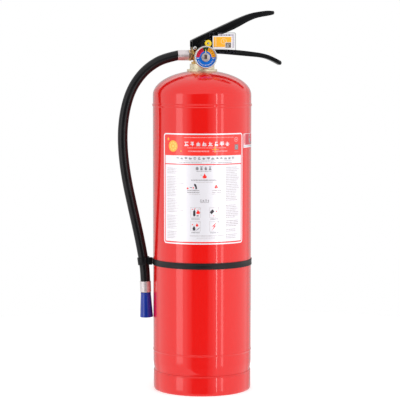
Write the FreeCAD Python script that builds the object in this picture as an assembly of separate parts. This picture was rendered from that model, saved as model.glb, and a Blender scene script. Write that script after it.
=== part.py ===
"""Hand-held dry-powder fire extinguisher of the stored-pressure kind, 8 kg class.

Millimetres. +Z is up and the origin is the cylinder's axis at the floor. +X runs along
the lever and the carry handle, the gauge faces -Y and the hose leaves towards -X.
"""
import FreeCAD, Part
import math
import os

V = FreeCAD.Vector
AXIS_X = V(1, 0, 0)
AXIS_Y = V(0, 1, 0)
AXIS_Z = V(0, 0, 1)

# ---- driving dimensions ------------------------------------------------------------
# cylinder shell
BODY_R = 80.0            # outside radius of the pressure cylinder
WALL = 1.5               # sheet thickness of cylinder, heads and foot ring
UPPER_SEAM_Z = 465.0     # weld between cylinder and top dome
LOWER_SEAM_Z = 65.5      # weld between cylinder and bottom head
DOME_FLANGE = 16.0       # straight part of the top dome above its weld
DOME_RISE = 40.0         # height of the dome's 2:1 ellipse
BEAD_RISE = 1.0          # how far the upper weld stands proud
BEAD_HALF = 3.0          # half the upper weld's height
LOW_BEAD_RISE = 0.6
LOW_BEAD_HALF = 1.5
# bottom head and foot ring
NECKDOWN_TOP_Z = 45.0    # where the bottom head starts to draw in
NECKDOWN_Z = 34.0        # narrowest place, just above the foot ring
NECKDOWN_BY = 1.6        # how much narrower it is there
BELLY_RISE = 28.0        # depth of the bottom head's dish
KNUCKLE_R = 18.0         # small radius where the dish meets its side
SKIRT_INSET = 0.4        # foot ring radius under the cylinder's
SKIRT_TOP_Z = 30.0
SKIRT_ROUND = 5.0        # height of the rolled-in foot
SKIRT_ROLL = 2.0         # how far the foot rolls in
SKIRT_LIP = 3.0          # flat lip that stands on the floor
WELD_R = 1.3             # fillet weld between foot ring and head
# neck
NECK_BORE = 15.0
NECK_R = 20.0
NECK_FLANGE_R = 24.6
NECK_FLANGE_LOW = -2.4   # flange underside, from the dome's apex
NECK_FLANGE_TOP = 2.0    # flange top, from the dome's apex
NECK_HEIGHT = 10.5       # neck top above the dome's apex
NECK_DEPTH = 14.0        # how far the neck reaches into the cylinder
SEAL_W = 1.6             # neck seal section
SEAL_H = 1.8
# valve body, heights above its seat on the neck
VALVE_FLANGE_R = 17.5
VALVE_FLANGE_H = 3.5
COLUMN_R = 14.5
COLUMN_H = 16.5
BLOCK_HALF = 8.5         # half width of the flat-sided head
BLOCK_BACK = -16.6
BLOCK_FRONT = 15.0
BLOCK_H = 26.5
HEAD_ROUND = 2.0         # rounded uprights of the flat-sided head
SENSE_R = 1.2            # pressure channel to the gauge
SENSE_Y = -12.0
SPIGOT_L = 20.5
CHAMBER_R = 9.0
SEAT_BORE = 5.0
SEAT_H = -3.5            # underside of the valve seat
FLOW_R = 6.5
FLOW_TOP = 17.5
PACKING_R = 5.0
PACKING_H = 20.5
STEM_R = 3.0
THROUGH = 30.0           # half length of a cutter that passes through everything
RUNNING = 0.06           # radial clearance of a running fit
SIDE_GAP = 0.4           # clearance between a moving plate and its neighbour
# gland nut
GLAND_AF = 11.0
GLAND_HEX_H = 3.5
O_RING_H = 2.0
# stem, disc and spring
NEEDLE_R = 2.4
DISC_R = 7.5
DISC_H = 2.2
RETAINER_R = 6.2
RETAINER_H = 1.6
SPRING_R = 5.4
SPRING_WIRE = 0.65
SPRING_TURNS = 4.5
STEM_GAP = 0.7           # height of the gap between stem tip and lever at rest
# dip tube and powder
ADAPTER_FLANGE = 12.0
ADAPTER_L = 16.0
ADAPTER_FLANGE_H = 4.0
ADAPTER_WALL = 2.2
ADAPTER_STEP = 1.6       # shoulder that stops the dip tube
DIP_R = 7.0
DIP_WALL = 1.2
DIP_FOOT = 12.0          # gap between dip tube and cylinder floor
FOOT_ANGLE = 25.0        # slant of the dip tube's foot, degrees
POWDER_DOWN = 25.0       # powder surface below the upper seam
POWDER_GAP = 0.3
# lever and handle
SHEET = 2.0              # sheet of lever and handle
PIVOT_X = -13.4
PIVOT_H = 25.1           # pivot above the neck top
RIVET_R = 2.5
RIVET_HEAD_R = 3.3
RIVET_HEAD_H = 1.4
FRONT_RIVET_X = 10.5
FRONT_RIVET_H = 21.5
LEVER_TRAVEL = 16.0      # degrees
LEVER_NOSE_R = 9.0       # corners of the lever's nose, seen from above
LEVER_END = 118.5        # just past the lever's nose
LEVER_HOLLOW_END = 112.0
HANDLE_NOSE_R = 8.0
HANDLE_END = 131.2       # just past the handle's nose
# safety pin
PIN_X = 7.5
PIN_H = 32.7             # above the neck top
PIN_R = 1.75
PIN_FRONT = 3.6          # pin end beyond the lever's side
EYE_OUT = 5.4            # eye centre beyond the lever's side
EYE_R = 3.8
EYE_HALF = 1.2
EYE_BORE = 1.7
PULL_RING_R = 12.0
PULL_WIRE = 1.1
BUTTON_R = 5.6
BUTTON_T = 3.0
PIN_SLOT = 0.35          # clearance round the pin in the lever's slot
SLOT_STEPS = 8
BUTTON_ROUND = 0.8
# gauge
GAUGE_H = 10.5           # gauge axis above the neck top
GAUGE_FACE_Y = -40.0
BEZEL_R = 18.2
BEZEL_LIP = 2.1
CASE_R = 17.4
CASE_WALL = 0.8
CASE_DEPTH = 12.6
DIAL_DOWN = 4.6          # dial face behind the bezel's front
HUB_R = 7.0
POINTER_L = 13.0
GAUGE_THREAD = 4.5
GAUGE_HOLE_END = -10.5
GAUGE_HEX_AF = 12.0
GAUGE_HEX_OUT = 2.5      # gap between the hexagon and the column
GAUGE_HEX_L = 5.0
BEZEL_H = 5.0            # rim's depth
LENS_FRONT = 0.5         # window's front and back, behind the rim's face
LENS_BACK = 1.6
DIAL_T = 0.6
HUB_FRONT = 1.6          # hub disc's front and back, ahead of the dial's face
HUB_BACK = 1.1
SPINDLE_R = 0.8
DIAL_HOLE_R = 1.2
# hose port and hose
PORT_H = 13.7            # port axis above the neck top
PORT_BOSS_R = 8.0
PORT_BORE = 5.5
PORT_DEPTH = 7.0
WASHER_T = 0.8
HOSE_NUT_AF = 15.2
HOSE_NUT_L = 4.6
FERRULE_R = 8.3
FERRULE_L = 18.4
FERRULE_IN = 7.2
HOSE_R = 8.0
HOSE_BORE = 4.6
BARB_BORE = 3.4
# nozzle
NOZZLE_FERRULE_R = 8.9
NOZZLE_FERRULE_L = 18.0
NOZZLE_GAP = 0.5
NOZZLE_L = 41.0
NOZZLE_TOP_R = 8.5
NOZZLE_MOUTH_R = 10.8
NOZZLE_BORE = 4.4
NOZZLE_LIP = 1.5
# strap
STRAP_Z = 210.0
STRAP_H = 9.8
STRAP_T = 1.3
CLIP_GAP = 0.35
CLIP_T = 1.7
CLIP_H = 12.0
ROOM_HALF = 40.0         # half the length of the bore that keeps the clip off the hose
# labels and tag
LABEL_T = 0.25
LABEL_LOW = 245.2
LABEL_DOWN = 43.4        # label's upper edge below the upper seam
LABEL_TURN = -7.2        # label centre from straight ahead, degrees towards +X
LABEL_HALF_DEG = 51.4
LABEL_CORNER = 5.0
SIDE_LABEL_DOWN = 45.0
SIDE_LABEL_TALL = 22.5
SIDE_LABEL_FROM = 46.6
SIDE_LABEL_TO = 75.0

# Route of the hose, from the valve ferrule's mouth to the nozzle ferrule's mouth.
HOSE_ROUTE = [
    V(-38.4, 0.0, 545.4),
    V(-60.2, 0.0, 540.9),
    V(-80.0, 0.3, 531.2),
    V(-98.4, 1.0, 515.8),
    V(-114.5, 2.5, 492.4),
    V(-124.5, 4.5, 462.6),
    V(-129.6, 7.0, 425.1),
    V(-128.3, 9.5, 385.0),
    V(-122.4, 11.5, 343.2),
    V(-112.6, 13.0, 298.1),
    V(-102.1, 14.0, 251.7),
    V(-94.9, 14.7, 214.0),
    V(-92.2, 15.0, 192.0),
    V(-91.7, 15.1, 176.5),
]

# ---- places worked out from them ---------------------------------------------------
DOME_BASE_Z = UPPER_SEAM_Z + DOME_FLANGE
APEX_Z = DOME_BASE_Z + DOME_RISE
NECK_Z = APEX_Z + NECK_HEIGHT
VALVE_TOP = NECK_Z + BLOCK_H
PIVOT = V(PIVOT_X, 0, NECK_Z + PIVOT_H)
PIN_Z = NECK_Z + PIN_H
EAR_OUT = BLOCK_HALF + SHEET
LEVER_IN = EAR_OUT + SIDE_GAP
LEVER_OUT = LEVER_IN + SHEET
GAUGE_Z = NECK_Z + GAUGE_H
DIAL_Y = GAUGE_FACE_Y + DIAL_DOWN
CASE_BACK_Y = GAUGE_FACE_Y + CASE_DEPTH
PORT_Z = NECK_Z + PORT_H
NUT_X = BLOCK_BACK - WASHER_T
HOSE_MOUTH_X = NUT_X - HOSE_NUT_L - FERRULE_L
LABEL_R = BODY_R + LABEL_T
LABEL_HIGH = UPPER_SEAM_Z - LABEL_DOWN
SIDE_LABEL_HIGH = UPPER_SEAM_Z - SIDE_LABEL_DOWN
POWDER_LEVEL = UPPER_SEAM_Z - POWDER_DOWN


# ---- shapes used by several pieces -------------------------------------------------
def tube(outer, inner, low, high):
    """Round tube about the Z axis."""
    wall = Part.makeCylinder(outer, high - low, V(0, 0, low))
    if inner > 0:
        wall = wall.cut(Part.makeCylinder(inner, high - low + 2, V(0, 0, low - 1)))
    return wall


def block(x0, x1, y0, y1, z0, z1):
    return Part.makeBox(x1 - x0, y1 - y0, z1 - z0, V(x0, y0, z0))


def rod_y(radius, x, z, y0, y1):
    return Part.makeCylinder(radius, y1 - y0, V(x, y0, z), AXIS_Y)


def rod_x(radius, z, x0, x1):
    return Part.makeCylinder(radius, x1 - x0, V(x0, 0, z), AXIS_X)


def hex_bar(flats, length, base, direction):
    """Hexagonal bar, given its size across flats."""
    corner = flats / math.sqrt(3.0)
    spots = [V(corner * math.cos(math.radians(60 * i)), corner * math.sin(math.radians(60 * i)), 0)
             for i in range(6)]
    bar = Part.Face(Part.makePolygon(spots + spots[:1])).extrude(V(0, 0, length))
    bar.Placement = FreeCAD.Placement(base, FreeCAD.Rotation(AXIS_Z, direction))
    return bar


def line(a, b):
    return Part.LineSegment(V(a[0], a[1], 0), V(b[0], b[1], 0)).toShape()


def ellipse_arc(radius, rise, centre_h, start, end):
    """Arc of an upright ellipse on the axis, in (radius, height), as one edge."""
    whole = Part.Ellipse(V(0, centre_h, 0), radius, rise)
    return Part.ArcOfEllipse(whole, start, end).toShape()


def lathe(edges):
    """Solid turned about Z from a closed outline in (radius, height)."""
    face = Part.Face(Part.Wire(Part.__sortEdges__(edges)))
    face.rotate(V(0, 0, 0), AXIS_X, 90)
    return face.revolve(V(0, 0, 0), AXIS_Z, 360)


def lathe_points(points):
    closed = points + points[:1]
    return lathe([line(closed[i], closed[i + 1]) for i in range(len(points))])


def smooth(points):
    """Smooth edge through points given as (x, z), in the XZ plane."""
    curve = Part.BSplineCurve()
    curve.interpolate([V(x, 0, z) for x, z in points])
    return curve.toShape()


def straight(points):
    spots = [V(x, 0, z) for x, z in points]
    return [Part.LineSegment(spots[i], spots[i + 1]).toShape() for i in range(len(spots) - 1)]


def plate(edges, half_width):
    """Plate of that half width each side of Y = 0, from a closed outline in XZ."""
    face = Part.Face(Part.Wire(Part.__sortEdges__(edges)))
    face.translate(V(0, -half_width, 0))
    return face.extrude(V(0, 2 * half_width, 0))


def save(shape, name):
    solids = shape.Solids
    whole = solids[0] if len(solids) == 1 else Part.makeCompound(solids)
    whole.exportStep("parts/" + name + ".step")
    print("%-18s solids %d  volume %.0f  valid %s" % (name, len(solids), whole.Volume, whole.isValid()))


# ---- pressure cylinder -------------------------------------------------------------
def cylinder_tube():
    return tube(BODY_R, BODY_R - WALL, LOWER_SEAM_Z, UPPER_SEAM_Z)


def top_dome():
    inner_r = BODY_R - WALL
    inner_rise = DOME_RISE - WALL
    out_end = math.acos(NECK_R / BODY_R)
    in_end = math.acos(NECK_R / inner_r)
    out_top = (NECK_R, DOME_BASE_Z + DOME_RISE * math.sin(out_end))
    in_top = (NECK_R, DOME_BASE_Z + inner_rise * math.sin(in_end))
    return lathe([
        line((BODY_R, UPPER_SEAM_Z), (BODY_R, DOME_BASE_Z)),
        ellipse_arc(BODY_R, DOME_RISE, DOME_BASE_Z, 0, out_end),
        line(out_top, in_top),
        ellipse_arc(inner_r, inner_rise, DOME_BASE_Z, 0, in_end),
        line((inner_r, DOME_BASE_Z), (inner_r, UPPER_SEAM_Z)),
        line((inner_r, UPPER_SEAM_Z), (BODY_R, UPPER_SEAM_Z)),
    ])


def arc_about(centre, radius, start, end):
    """Arc about a centre in (radius, height), between two angles."""
    spots = [V(centre[0] + radius * math.cos(a), centre[1] + radius * math.sin(a), 0)
             for a in (start, (start + end) / 2.0, end)]
    return Part.Arc(*spots).toShape()


def bottom_profile(offset):
    """Open outline of the bottom head, that far inside its outer skin: side, knuckle and crown."""
    side = BODY_R - offset
    waist = BODY_R - NECKDOWN_BY
    knuckle_x = waist - KNUCKLE_R
    crown_r = (knuckle_x ** 2 + BELLY_RISE ** 2 - KNUCKLE_R ** 2) / (2 * (BELLY_RISE - KNUCKLE_R))
    crown_z = NECKDOWN_Z - BELLY_RISE + crown_r
    meet = math.atan2(NECKDOWN_Z - crown_z, knuckle_x)
    return [
        line((side, LOWER_SEAM_Z), (side, NECKDOWN_TOP_Z)),
        line((side, NECKDOWN_TOP_Z), (waist - offset, NECKDOWN_Z)),
        arc_about((knuckle_x, NECKDOWN_Z), KNUCKLE_R - offset, 0, meet),
        arc_about((0, crown_z), crown_r - offset, meet, -0.5 * math.pi),
    ]


def bottom_head():
    ends = [
        line((BODY_R - WALL, LOWER_SEAM_Z), (BODY_R, LOWER_SEAM_Z)),
        line((0, NECKDOWN_Z - BELLY_RISE), (0, NECKDOWN_Z - BELLY_RISE + WALL)),
    ]
    return lathe(bottom_profile(0) + bottom_profile(WALL) + ends)


def base_skirt():
    outer = BODY_R - SKIRT_INSET
    inner = outer - WALL
    foot = outer - SKIRT_ROLL
    corner = outer - 0.3 * SKIRT_ROLL
    roll = Part.Arc(V(outer, SKIRT_ROUND, 0), V(corner, 0.3 * SKIRT_ROUND, 0), V(foot, 0, 0)).toShape()
    rest = [(foot, 0), (foot - SKIRT_LIP, 0), (foot - SKIRT_LIP, WALL), (foot - 1.0, WALL),
            (inner, SKIRT_ROUND), (inner, SKIRT_TOP_Z), (outer, SKIRT_TOP_Z), (outer, SKIRT_ROUND)]
    return lathe([roll] + [line(rest[i], rest[i + 1]) for i in range(len(rest) - 1)])


def weld_bead(seam_z, rise, half):
    """Low rounded seam that stands on the cylinder's skin."""
    crown = Part.Arc(V(BODY_R, seam_z - half, 0), V(BODY_R + rise, seam_z, 0),
                     V(BODY_R, seam_z + half, 0)).toShape()
    return lathe([crown, line((BODY_R, seam_z + half), (BODY_R, seam_z - half))])


def skirt_weld(head, skirt):
    """Fillet weld in the groove between foot ring and bottom head."""
    bead = Part.makeTorus(BODY_R - SKIRT_INSET - WALL + 0.4 * WELD_R, WELD_R, V(0, 0, SKIRT_TOP_Z + 0.5))
    inside = tube(BODY_R - NECKDOWN_BY - 0.5 * WALL, 0, 0, SKIRT_TOP_Z + 10)
    bead = bead.cut(head).cut(skirt).cut(inside)
    return max(bead.Solids, key=lambda s: s.Volume)


def neck_ring(dome):
    """Turned neck welded into the dome, with a groove for its seal."""
    ring = tube(NECK_R, NECK_BORE, NECK_Z - NECK_HEIGHT - NECK_DEPTH, NECK_Z)
    flange = tube(NECK_FLANGE_R, NECK_R - 1, APEX_Z + NECK_FLANGE_LOW, APEX_Z + NECK_FLANGE_TOP)
    groove = tube(NECK_BORE + SEAL_W, 0, NECK_Z - SEAL_H, NECK_Z + 1)
    return ring.fuse(flange).cut(groove).cut(dome).removeSplitter()


def neck_seal():
    return tube(NECK_BORE + SEAL_W, NECK_BORE, NECK_Z - SEAL_H, NECK_Z)


# ---- valve -------------------------------------------------------------------------
def valve_body():
    """Brass valve: threaded spigot, round column, port boss and flat-sided head."""
    column_top = NECK_Z + COLUMN_H
    body = tube(NECK_BORE, 0, NECK_Z - SPIGOT_L, NECK_Z)
    body = body.fuse(tube(VALVE_FLANGE_R, 0, NECK_Z, NECK_Z + VALVE_FLANGE_H))
    body = body.fuse(tube(COLUMN_R, 0, NECK_Z, column_top))
    body = body.fuse(rod_x(PORT_BOSS_R, PORT_Z, BLOCK_BACK, 0))
    head = block(BLOCK_BACK, BLOCK_FRONT, -BLOCK_HALF, BLOCK_HALF, column_top - 1, VALVE_TOP)
    uprights = [e for e in head.Edges if abs(e.tangentAt(e.FirstParameter).z) > 0.9]
    body = body.fuse(head.makeFillet(HEAD_ROUND, uprights))
    bores = [
        tube(CHAMBER_R, 0, NECK_Z - SPIGOT_L - 1, NECK_Z + SEAT_H),
        tube(SEAT_BORE, 0, NECK_Z + SEAT_H - 1, NECK_Z + 1),
        tube(FLOW_R, 0, NECK_Z, NECK_Z + FLOW_TOP),
        tube(STEM_R + RUNNING, 0, NECK_Z, VALVE_TOP + 1),
        tube(PACKING_R, 0, NECK_Z + PACKING_H, VALVE_TOP + 1),
        rod_x(PORT_BORE, PORT_Z, BLOCK_BACK - 1, BLOCK_BACK + PORT_DEPTH),
        rod_x(BARB_BORE, PORT_Z, BLOCK_BACK, 0),
        rod_y(GAUGE_THREAD, 0, GAUGE_Z, -COLUMN_R - 1, GAUGE_HOLE_END),
        Part.makeCylinder(SENSE_R, SPIGOT_L + GAUGE_H + 1, V(0, SENSE_Y, NECK_Z - SPIGOT_L - 1)),
        rod_y(RIVET_R, PIVOT.x, PIVOT.z, -THROUGH, THROUGH),
        rod_y(RIVET_R, FRONT_RIVET_X, NECK_Z + FRONT_RIVET_H, -THROUGH, THROUGH),
    ]
    for bore in bores:
        body = body.cut(bore)
    return body.removeSplitter()


def gland_nut():
    """Hexagon nut that holds the packing and guides the stem."""
    low = NECK_Z + PACKING_H + O_RING_H
    nut = tube(PACKING_R, 0, low, VALVE_TOP)
    nut = nut.fuse(hex_bar(GLAND_AF, GLAND_HEX_H, V(0, 0, VALVE_TOP), AXIS_Z))
    return nut.cut(tube(STEM_R + RUNNING, 0, low - 1, VALVE_TOP + GLAND_HEX_H + 1))


def stem_o_ring():
    low = NECK_Z + PACKING_H
    return tube(PACKING_R, STEM_R + RUNNING, low, low + O_RING_H)


def valve_stem(lever):
    """Push rod under the lever, with the needle that carries the disc."""
    sight = block(-0.05, 0.05, -0.05, 0.05, VALVE_TOP, VALVE_TOP + 60)
    web_z = lever.common(sight).BoundBox.ZMin
    tip = web_z - STEM_GAP
    crown = Part.makeSphere(STEM_R, V(0, 0, tip - STEM_R))
    rod = tube(STEM_R, 0, NECK_Z + 0.5, tip - STEM_R).fuse(crown)
    needle = tube(NEEDLE_R, 0, NECK_Z + SEAT_H - DISC_H - RETAINER_H, NECK_Z + 0.5)
    return rod.fuse(needle).removeSplitter()


def stem_seal():
    top = NECK_Z + SEAT_H
    return tube(DISC_R, NEEDLE_R, top - DISC_H, top)


def seal_retainer():
    top = NECK_Z + SEAT_H - DISC_H
    return tube(RETAINER_R, NEEDLE_R, top - RETAINER_H, top)


def valve_spring():
    """Compression spring between the dip tube's adapter and the disc."""
    low = NECK_Z - SPIGOT_L
    high = NECK_Z + SEAT_H - DISC_H - RETAINER_H
    pitch = (high - low - 2 * SPRING_WIRE) / SPRING_TURNS
    helix = Part.makeLongHelix(pitch, pitch * SPRING_TURNS, SPRING_R)
    helix.translate(V(0, 0, low + SPRING_WIRE))
    section = Part.Wire(Part.makeCircle(SPRING_WIRE, V(SPRING_R, 0, low + SPRING_WIRE), AXIS_Y))
    return Part.Wire(helix.Edges).makePipeShell([section], True, True)


def siphon_adapter():
    """Plastic adapter screwed under the valve; it seats the spring and holds the dip tube."""
    top = NECK_Z - SPIGOT_L
    socket_top = top - ADAPTER_FLANGE_H
    body = tube(ADAPTER_FLANGE, 0, socket_top, top)
    body = body.fuse(tube(DIP_R + ADAPTER_WALL, 0, top - ADAPTER_L, top))
    body = body.cut(tube(DIP_R - DIP_WALL - ADAPTER_STEP, 0, top - ADAPTER_L - 1, top + 1))
    return body.cut(tube(DIP_R, 0, top - ADAPTER_L - 1, socket_top)).removeSplitter()


def dip_tube():
    """Siphon tube with a slanting foot just above the cylinder's floor."""
    foot = NECKDOWN_Z - BELLY_RISE + WALL + DIP_FOOT
    pipe = tube(DIP_R, DIP_R - DIP_WALL, foot, NECK_Z - SPIGOT_L - ADAPTER_FLANGE_H)
    wedge = block(-20, 20, -20, 20, foot - 40, foot)
    wedge.rotate(V(0, 0, foot), AXIS_Y, FOOT_ANGLE)
    return pipe.cut(wedge)


def powder_charge():
    gap = WALL + POWDER_GAP
    side = BODY_R - gap
    fill = lathe(bottom_profile(gap) + [
        line((0, NECKDOWN_Z - BELLY_RISE + gap), (0, POWDER_LEVEL)),
        line((0, POWDER_LEVEL), (side, POWDER_LEVEL)),
        line((side, POWDER_LEVEL), (side, LOWER_SEAM_Z)),
    ])
    return fill.cut(tube(DIP_R + POWDER_GAP, 0, 0, POWDER_LEVEL + 1))


# ---- lever, handle and their rivets ------------------------------------------------
def lever_top(drop):
    """Upper line of the squeeze lever, that far down, as (x, z) from the neck top."""
    heights = [(-18.0, 37.9), (-11.5, 41.2), (-4.9, 44.4), (9.6, 51.1), (39.0, 64.6),
               (68.2, 77.6), (83.1, 82.5), (97.7, 85.1), (107.0, 85.9), (113.5, 85.4)]
    return [(x, NECK_Z + z - drop) for x, z in heights]


def lever_blank():
    """Side view of the lever as a thick plate."""
    z = NECK_Z
    under = [(115.4, z + 79.7), (108.1, z + 77.9), (88.8, z + 74.2), (77.1, z + 69.8),
             (62.3, z + 62.0), (47.7, z + 54.5), (30.1, z + 47.2), (22.0, z + 43.2)]
    top = smooth(lever_top(0))
    nose = Part.Arc(V(113.5, 0, z + 85.4), V(117.9, 0, z + 82.6), V(115.4, 0, z + 79.7)).toShape()
    foot = straight([(22.0, z + 43.2), (16.5, z + 36.0), (14.0, z + 24.0),
                     (PIVOT_X, z + 24.0), (-18.0, z + 27.9), (-18.0, z + 37.9)])
    side = plate([top, nose, smooth(under)] + foot, LEVER_OUT)
    boss = rod_y(RIVET_HEAD_R + 0.9, PIVOT.x, PIVOT.z, -LEVER_OUT, LEVER_OUT)
    return side.fuse(boss)


def pin_slot():
    """Slot that lets the lever turn past the safety pin."""
    slot = rod_y(PIN_R + PIN_SLOT, PIN_X, PIN_Z, -THROUGH, THROUGH)
    for step in range(1, SLOT_STEPS + 1):
        turned = rod_y(PIN_R + PIN_SLOT, PIN_X, PIN_Z, -THROUGH, THROUGH)
        turned.rotate(PIVOT, AXIS_Y, -LEVER_TRAVEL * step / SLOT_STEPS)
        slot = slot.fuse(turned)
    return slot


def squeeze_lever():
    """Pressed channel, open below, with side plates that straddle the handle's ears."""
    inside = lever_top(1.1 * SHEET)
    start = (-40.0, inside[0][1] - 10.0)
    low = NECK_Z - 40.0
    hollow = [smooth(inside)] + straight([inside[-1], (LEVER_HOLLOW_END, inside[-1][1] - 0.6),
                                          (LEVER_HOLLOW_END, low),
                                          (-40.0, low), start, inside[0]])
    lever = lever_blank().cut(plate(hollow, LEVER_IN))
    nose = block(-60, LEVER_END, -LEVER_OUT, LEVER_OUT, low, NECK_Z + 120)
    corners = [e for e in nose.Edges
               if abs(e.tangentAt(e.FirstParameter).z) > 0.9 and e.BoundBox.XMin > 100]
    lever = lever.common(nose.makeFillet(LEVER_NOSE_R, corners))
    lever = lever.cut(rod_y(RIVET_R + RUNNING, PIVOT.x, PIVOT.z, -THROUGH, THROUGH))
    return lever.cut(pin_slot())


def handle_under(lift):
    """Lower line of the carry handle, that far up, as (x, z)."""
    heights = [(16.5, 16.4), (24.4, 16.3), (53.6, 14.2), (83.1, 11.6), (106.8, 7.9), (117.1, 3.6),
               (127.3, -1.8)]
    return [(x, NECK_Z + z + lift) for x, z in heights]


def carry_handle():
    """Pressed channel, open above, whose ears are riveted to the valve's flats."""
    z = NECK_Z
    over = [(18.0, z + 23.3), (53.6, z + 22.4), (83.1, z + 19.2), (109.6, z + 13.6), (120.6, z + 8.6),
            (128.6, z + 4.6)]
    nose = Part.Arc(V(128.6, 0, z + 4.6), V(130.6, 0, z + 0.8), V(127.3, 0, z - 1.8)).toShape()
    ear = straight([(16.5, z + 16.4), (-10.0, z + 21.0), (PIVOT_X - 3.6, z + 23.0),
                    (PIVOT_X - 3.6, z + 28.0), (1.0, z + 37.2), (12.5, z + 37.2), (18.0, z + 23.3)])
    grip = plate([smooth(over), nose, smooth(handle_under(0))] + ear, EAR_OUT)
    inner = handle_under(SHEET)
    high = z + 60.0
    top = straight([inner[-1], (inner[-1][0], high), (16.5, high), inner[0]])
    channel = plate([smooth(inner)] + top, BLOCK_HALF)
    rear = block(-40, 16.6, -BLOCK_HALF, BLOCK_HALF, z - 10, high)
    grip = grip.cut(channel).cut(rear)
    outline = block(-60, HANDLE_END, -EAR_OUT, EAR_OUT, z - 40, high)
    corners = [e for e in outline.Edges
               if abs(e.tangentAt(e.FirstParameter).z) > 0.9 and e.BoundBox.XMin > 100]
    grip = grip.common(outline.makeFillet(HANDLE_NOSE_R, corners))
    for x, height, radius in ((PIVOT.x, PIVOT.z, RIVET_R), (FRONT_RIVET_X, z + FRONT_RIVET_H, RIVET_R),
                              (PIN_X, PIN_Z, PIN_R + RUNNING)):
        grip = grip.cut(rod_y(radius, x, height, -THROUGH, THROUGH))
    return grip


def pivot_rivet():
    shank = rod_y(RIVET_R, PIVOT.x, PIVOT.z, -LEVER_OUT - SIDE_GAP, LEVER_OUT + SIDE_GAP)
    for side in (-1, 1):
        face = LEVER_OUT + SIDE_GAP
        head = Part.makeCone(RIVET_HEAD_R, 0.6 * RIVET_HEAD_R, RIVET_HEAD_H,
                             V(PIVOT.x, side * face, PIVOT.z), V(0, side, 0))
        shank = shank.fuse(head)
    return shank.removeSplitter()


def handle_rivet():
    return rod_y(RIVET_R, FRONT_RIVET_X, NECK_Z + FRONT_RIVET_H, -EAR_OUT, EAR_OUT)


# ---- safety pin --------------------------------------------------------------------
def safety_pin():
    """Straight pin through lever and ears, with a flattened eye at the back."""
    eye_y = LEVER_OUT + EYE_OUT
    pin = rod_y(PIN_R, PIN_X, PIN_Z, -LEVER_OUT - PIN_FRONT, eye_y)
    eye = Part.makeCylinder(EYE_R, 2 * EYE_HALF, V(PIN_X - EYE_HALF, eye_y, PIN_Z), AXIS_X)
    hole = Part.makeCylinder(EYE_BORE, 20, V(PIN_X - 10, eye_y, PIN_Z), AXIS_X)
    return pin.fuse(eye).cut(hole)


def pull_ring():
    return Part.makeTorus(PULL_RING_R, PULL_WIRE, V(PIN_X, LEVER_OUT + EYE_OUT, PIN_Z - PULL_RING_R), AXIS_Y)


def pin_seal():
    """Round plastic seal button over the pin's front end."""
    back = -LEVER_OUT - SIDE_GAP
    button = rod_y(BUTTON_R, PIN_X, PIN_Z, back - BUTTON_T, back)
    rims = [e for e in button.Edges if abs(e.BoundBox.YMax - back + BUTTON_T) < 0.01]
    button = button.makeFillet(BUTTON_ROUND, [rims[0]])
    return button.cut(rod_y(PIN_R + RUNNING, PIN_X, PIN_Z, -30, 0))


# ---- pressure gauge ----------------------------------------------------------------
def gauge_stem():
    hex_y = -COLUMN_R - GAUGE_HEX_OUT
    stem = rod_y(GAUGE_THREAD, 0, GAUGE_Z, hex_y - 0.5, GAUGE_HOLE_END)
    stem = stem.fuse(hex_bar(GAUGE_HEX_AF, GAUGE_HEX_L, V(0, hex_y, GAUGE_Z), V(0, -1, 0)))
    stem = stem.fuse(rod_y(GAUGE_THREAD - 0.5, 0, GAUGE_Z, CASE_BACK_Y - 2.0, hex_y - GAUGE_HEX_L + 0.5))
    return stem.cut(rod_y(1.0, 0, GAUGE_Z, CASE_BACK_Y - 1.0, 0)).removeSplitter()


def gauge_case():
    front = GAUGE_FACE_Y + LENS_BACK
    shell = rod_y(CASE_R, 0, GAUGE_Z, front, CASE_BACK_Y)
    shell = shell.cut(rod_y(CASE_R - CASE_WALL, 0, GAUGE_Z, front - 1, CASE_BACK_Y - CASE_WALL))
    return shell.cut(rod_y(GAUGE_THREAD - 0.5, 0, GAUGE_Z, front, 0))


def gauge_bezel():
    """Rim pressed over the case; its lip keeps the window in."""
    rim = rod_y(BEZEL_R, 0, GAUGE_Z, GAUGE_FACE_Y, GAUGE_FACE_Y + BEZEL_H)
    edge = [e for e in rim.Edges if abs(e.BoundBox.YMax - GAUGE_FACE_Y) < 0.01]
    rim = rim.makeFillet(0.7, [edge[0]])
    rim = rim.cut(rod_y(BEZEL_R - BEZEL_LIP, 0, GAUGE_Z, GAUGE_FACE_Y - 1, GAUGE_FACE_Y + 2))
    rim = rim.cut(rod_y(CASE_R - CASE_WALL, 0, GAUGE_Z, GAUGE_FACE_Y + LENS_FRONT, GAUGE_FACE_Y + 2))
    return rim.cut(rod_y(CASE_R, 0, GAUGE_Z, GAUGE_FACE_Y + LENS_BACK, GAUGE_FACE_Y + BEZEL_H + 1))


def gauge_lens():
    return rod_y(CASE_R - CASE_WALL, 0, GAUGE_Z, GAUGE_FACE_Y + LENS_FRONT, GAUGE_FACE_Y + LENS_BACK)


def gauge_dial():
    dial = rod_y(CASE_R - CASE_WALL, 0, GAUGE_Z, DIAL_Y, DIAL_Y + DIAL_T)
    return dial.cut(rod_y(DIAL_HOLE_R, 0, GAUGE_Z, DIAL_Y - 1, DIAL_Y + 1))


def pointer_hub():
    """Bright disc on the pointer's spindle."""
    disc = rod_y(HUB_R, 0, GAUGE_Z, DIAL_Y - HUB_FRONT, DIAL_Y - HUB_BACK)
    return disc.fuse(rod_y(SPINDLE_R, 0, GAUGE_Z, DIAL_Y - HUB_BACK - 0.1, DIAL_Y + 2.2))


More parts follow.
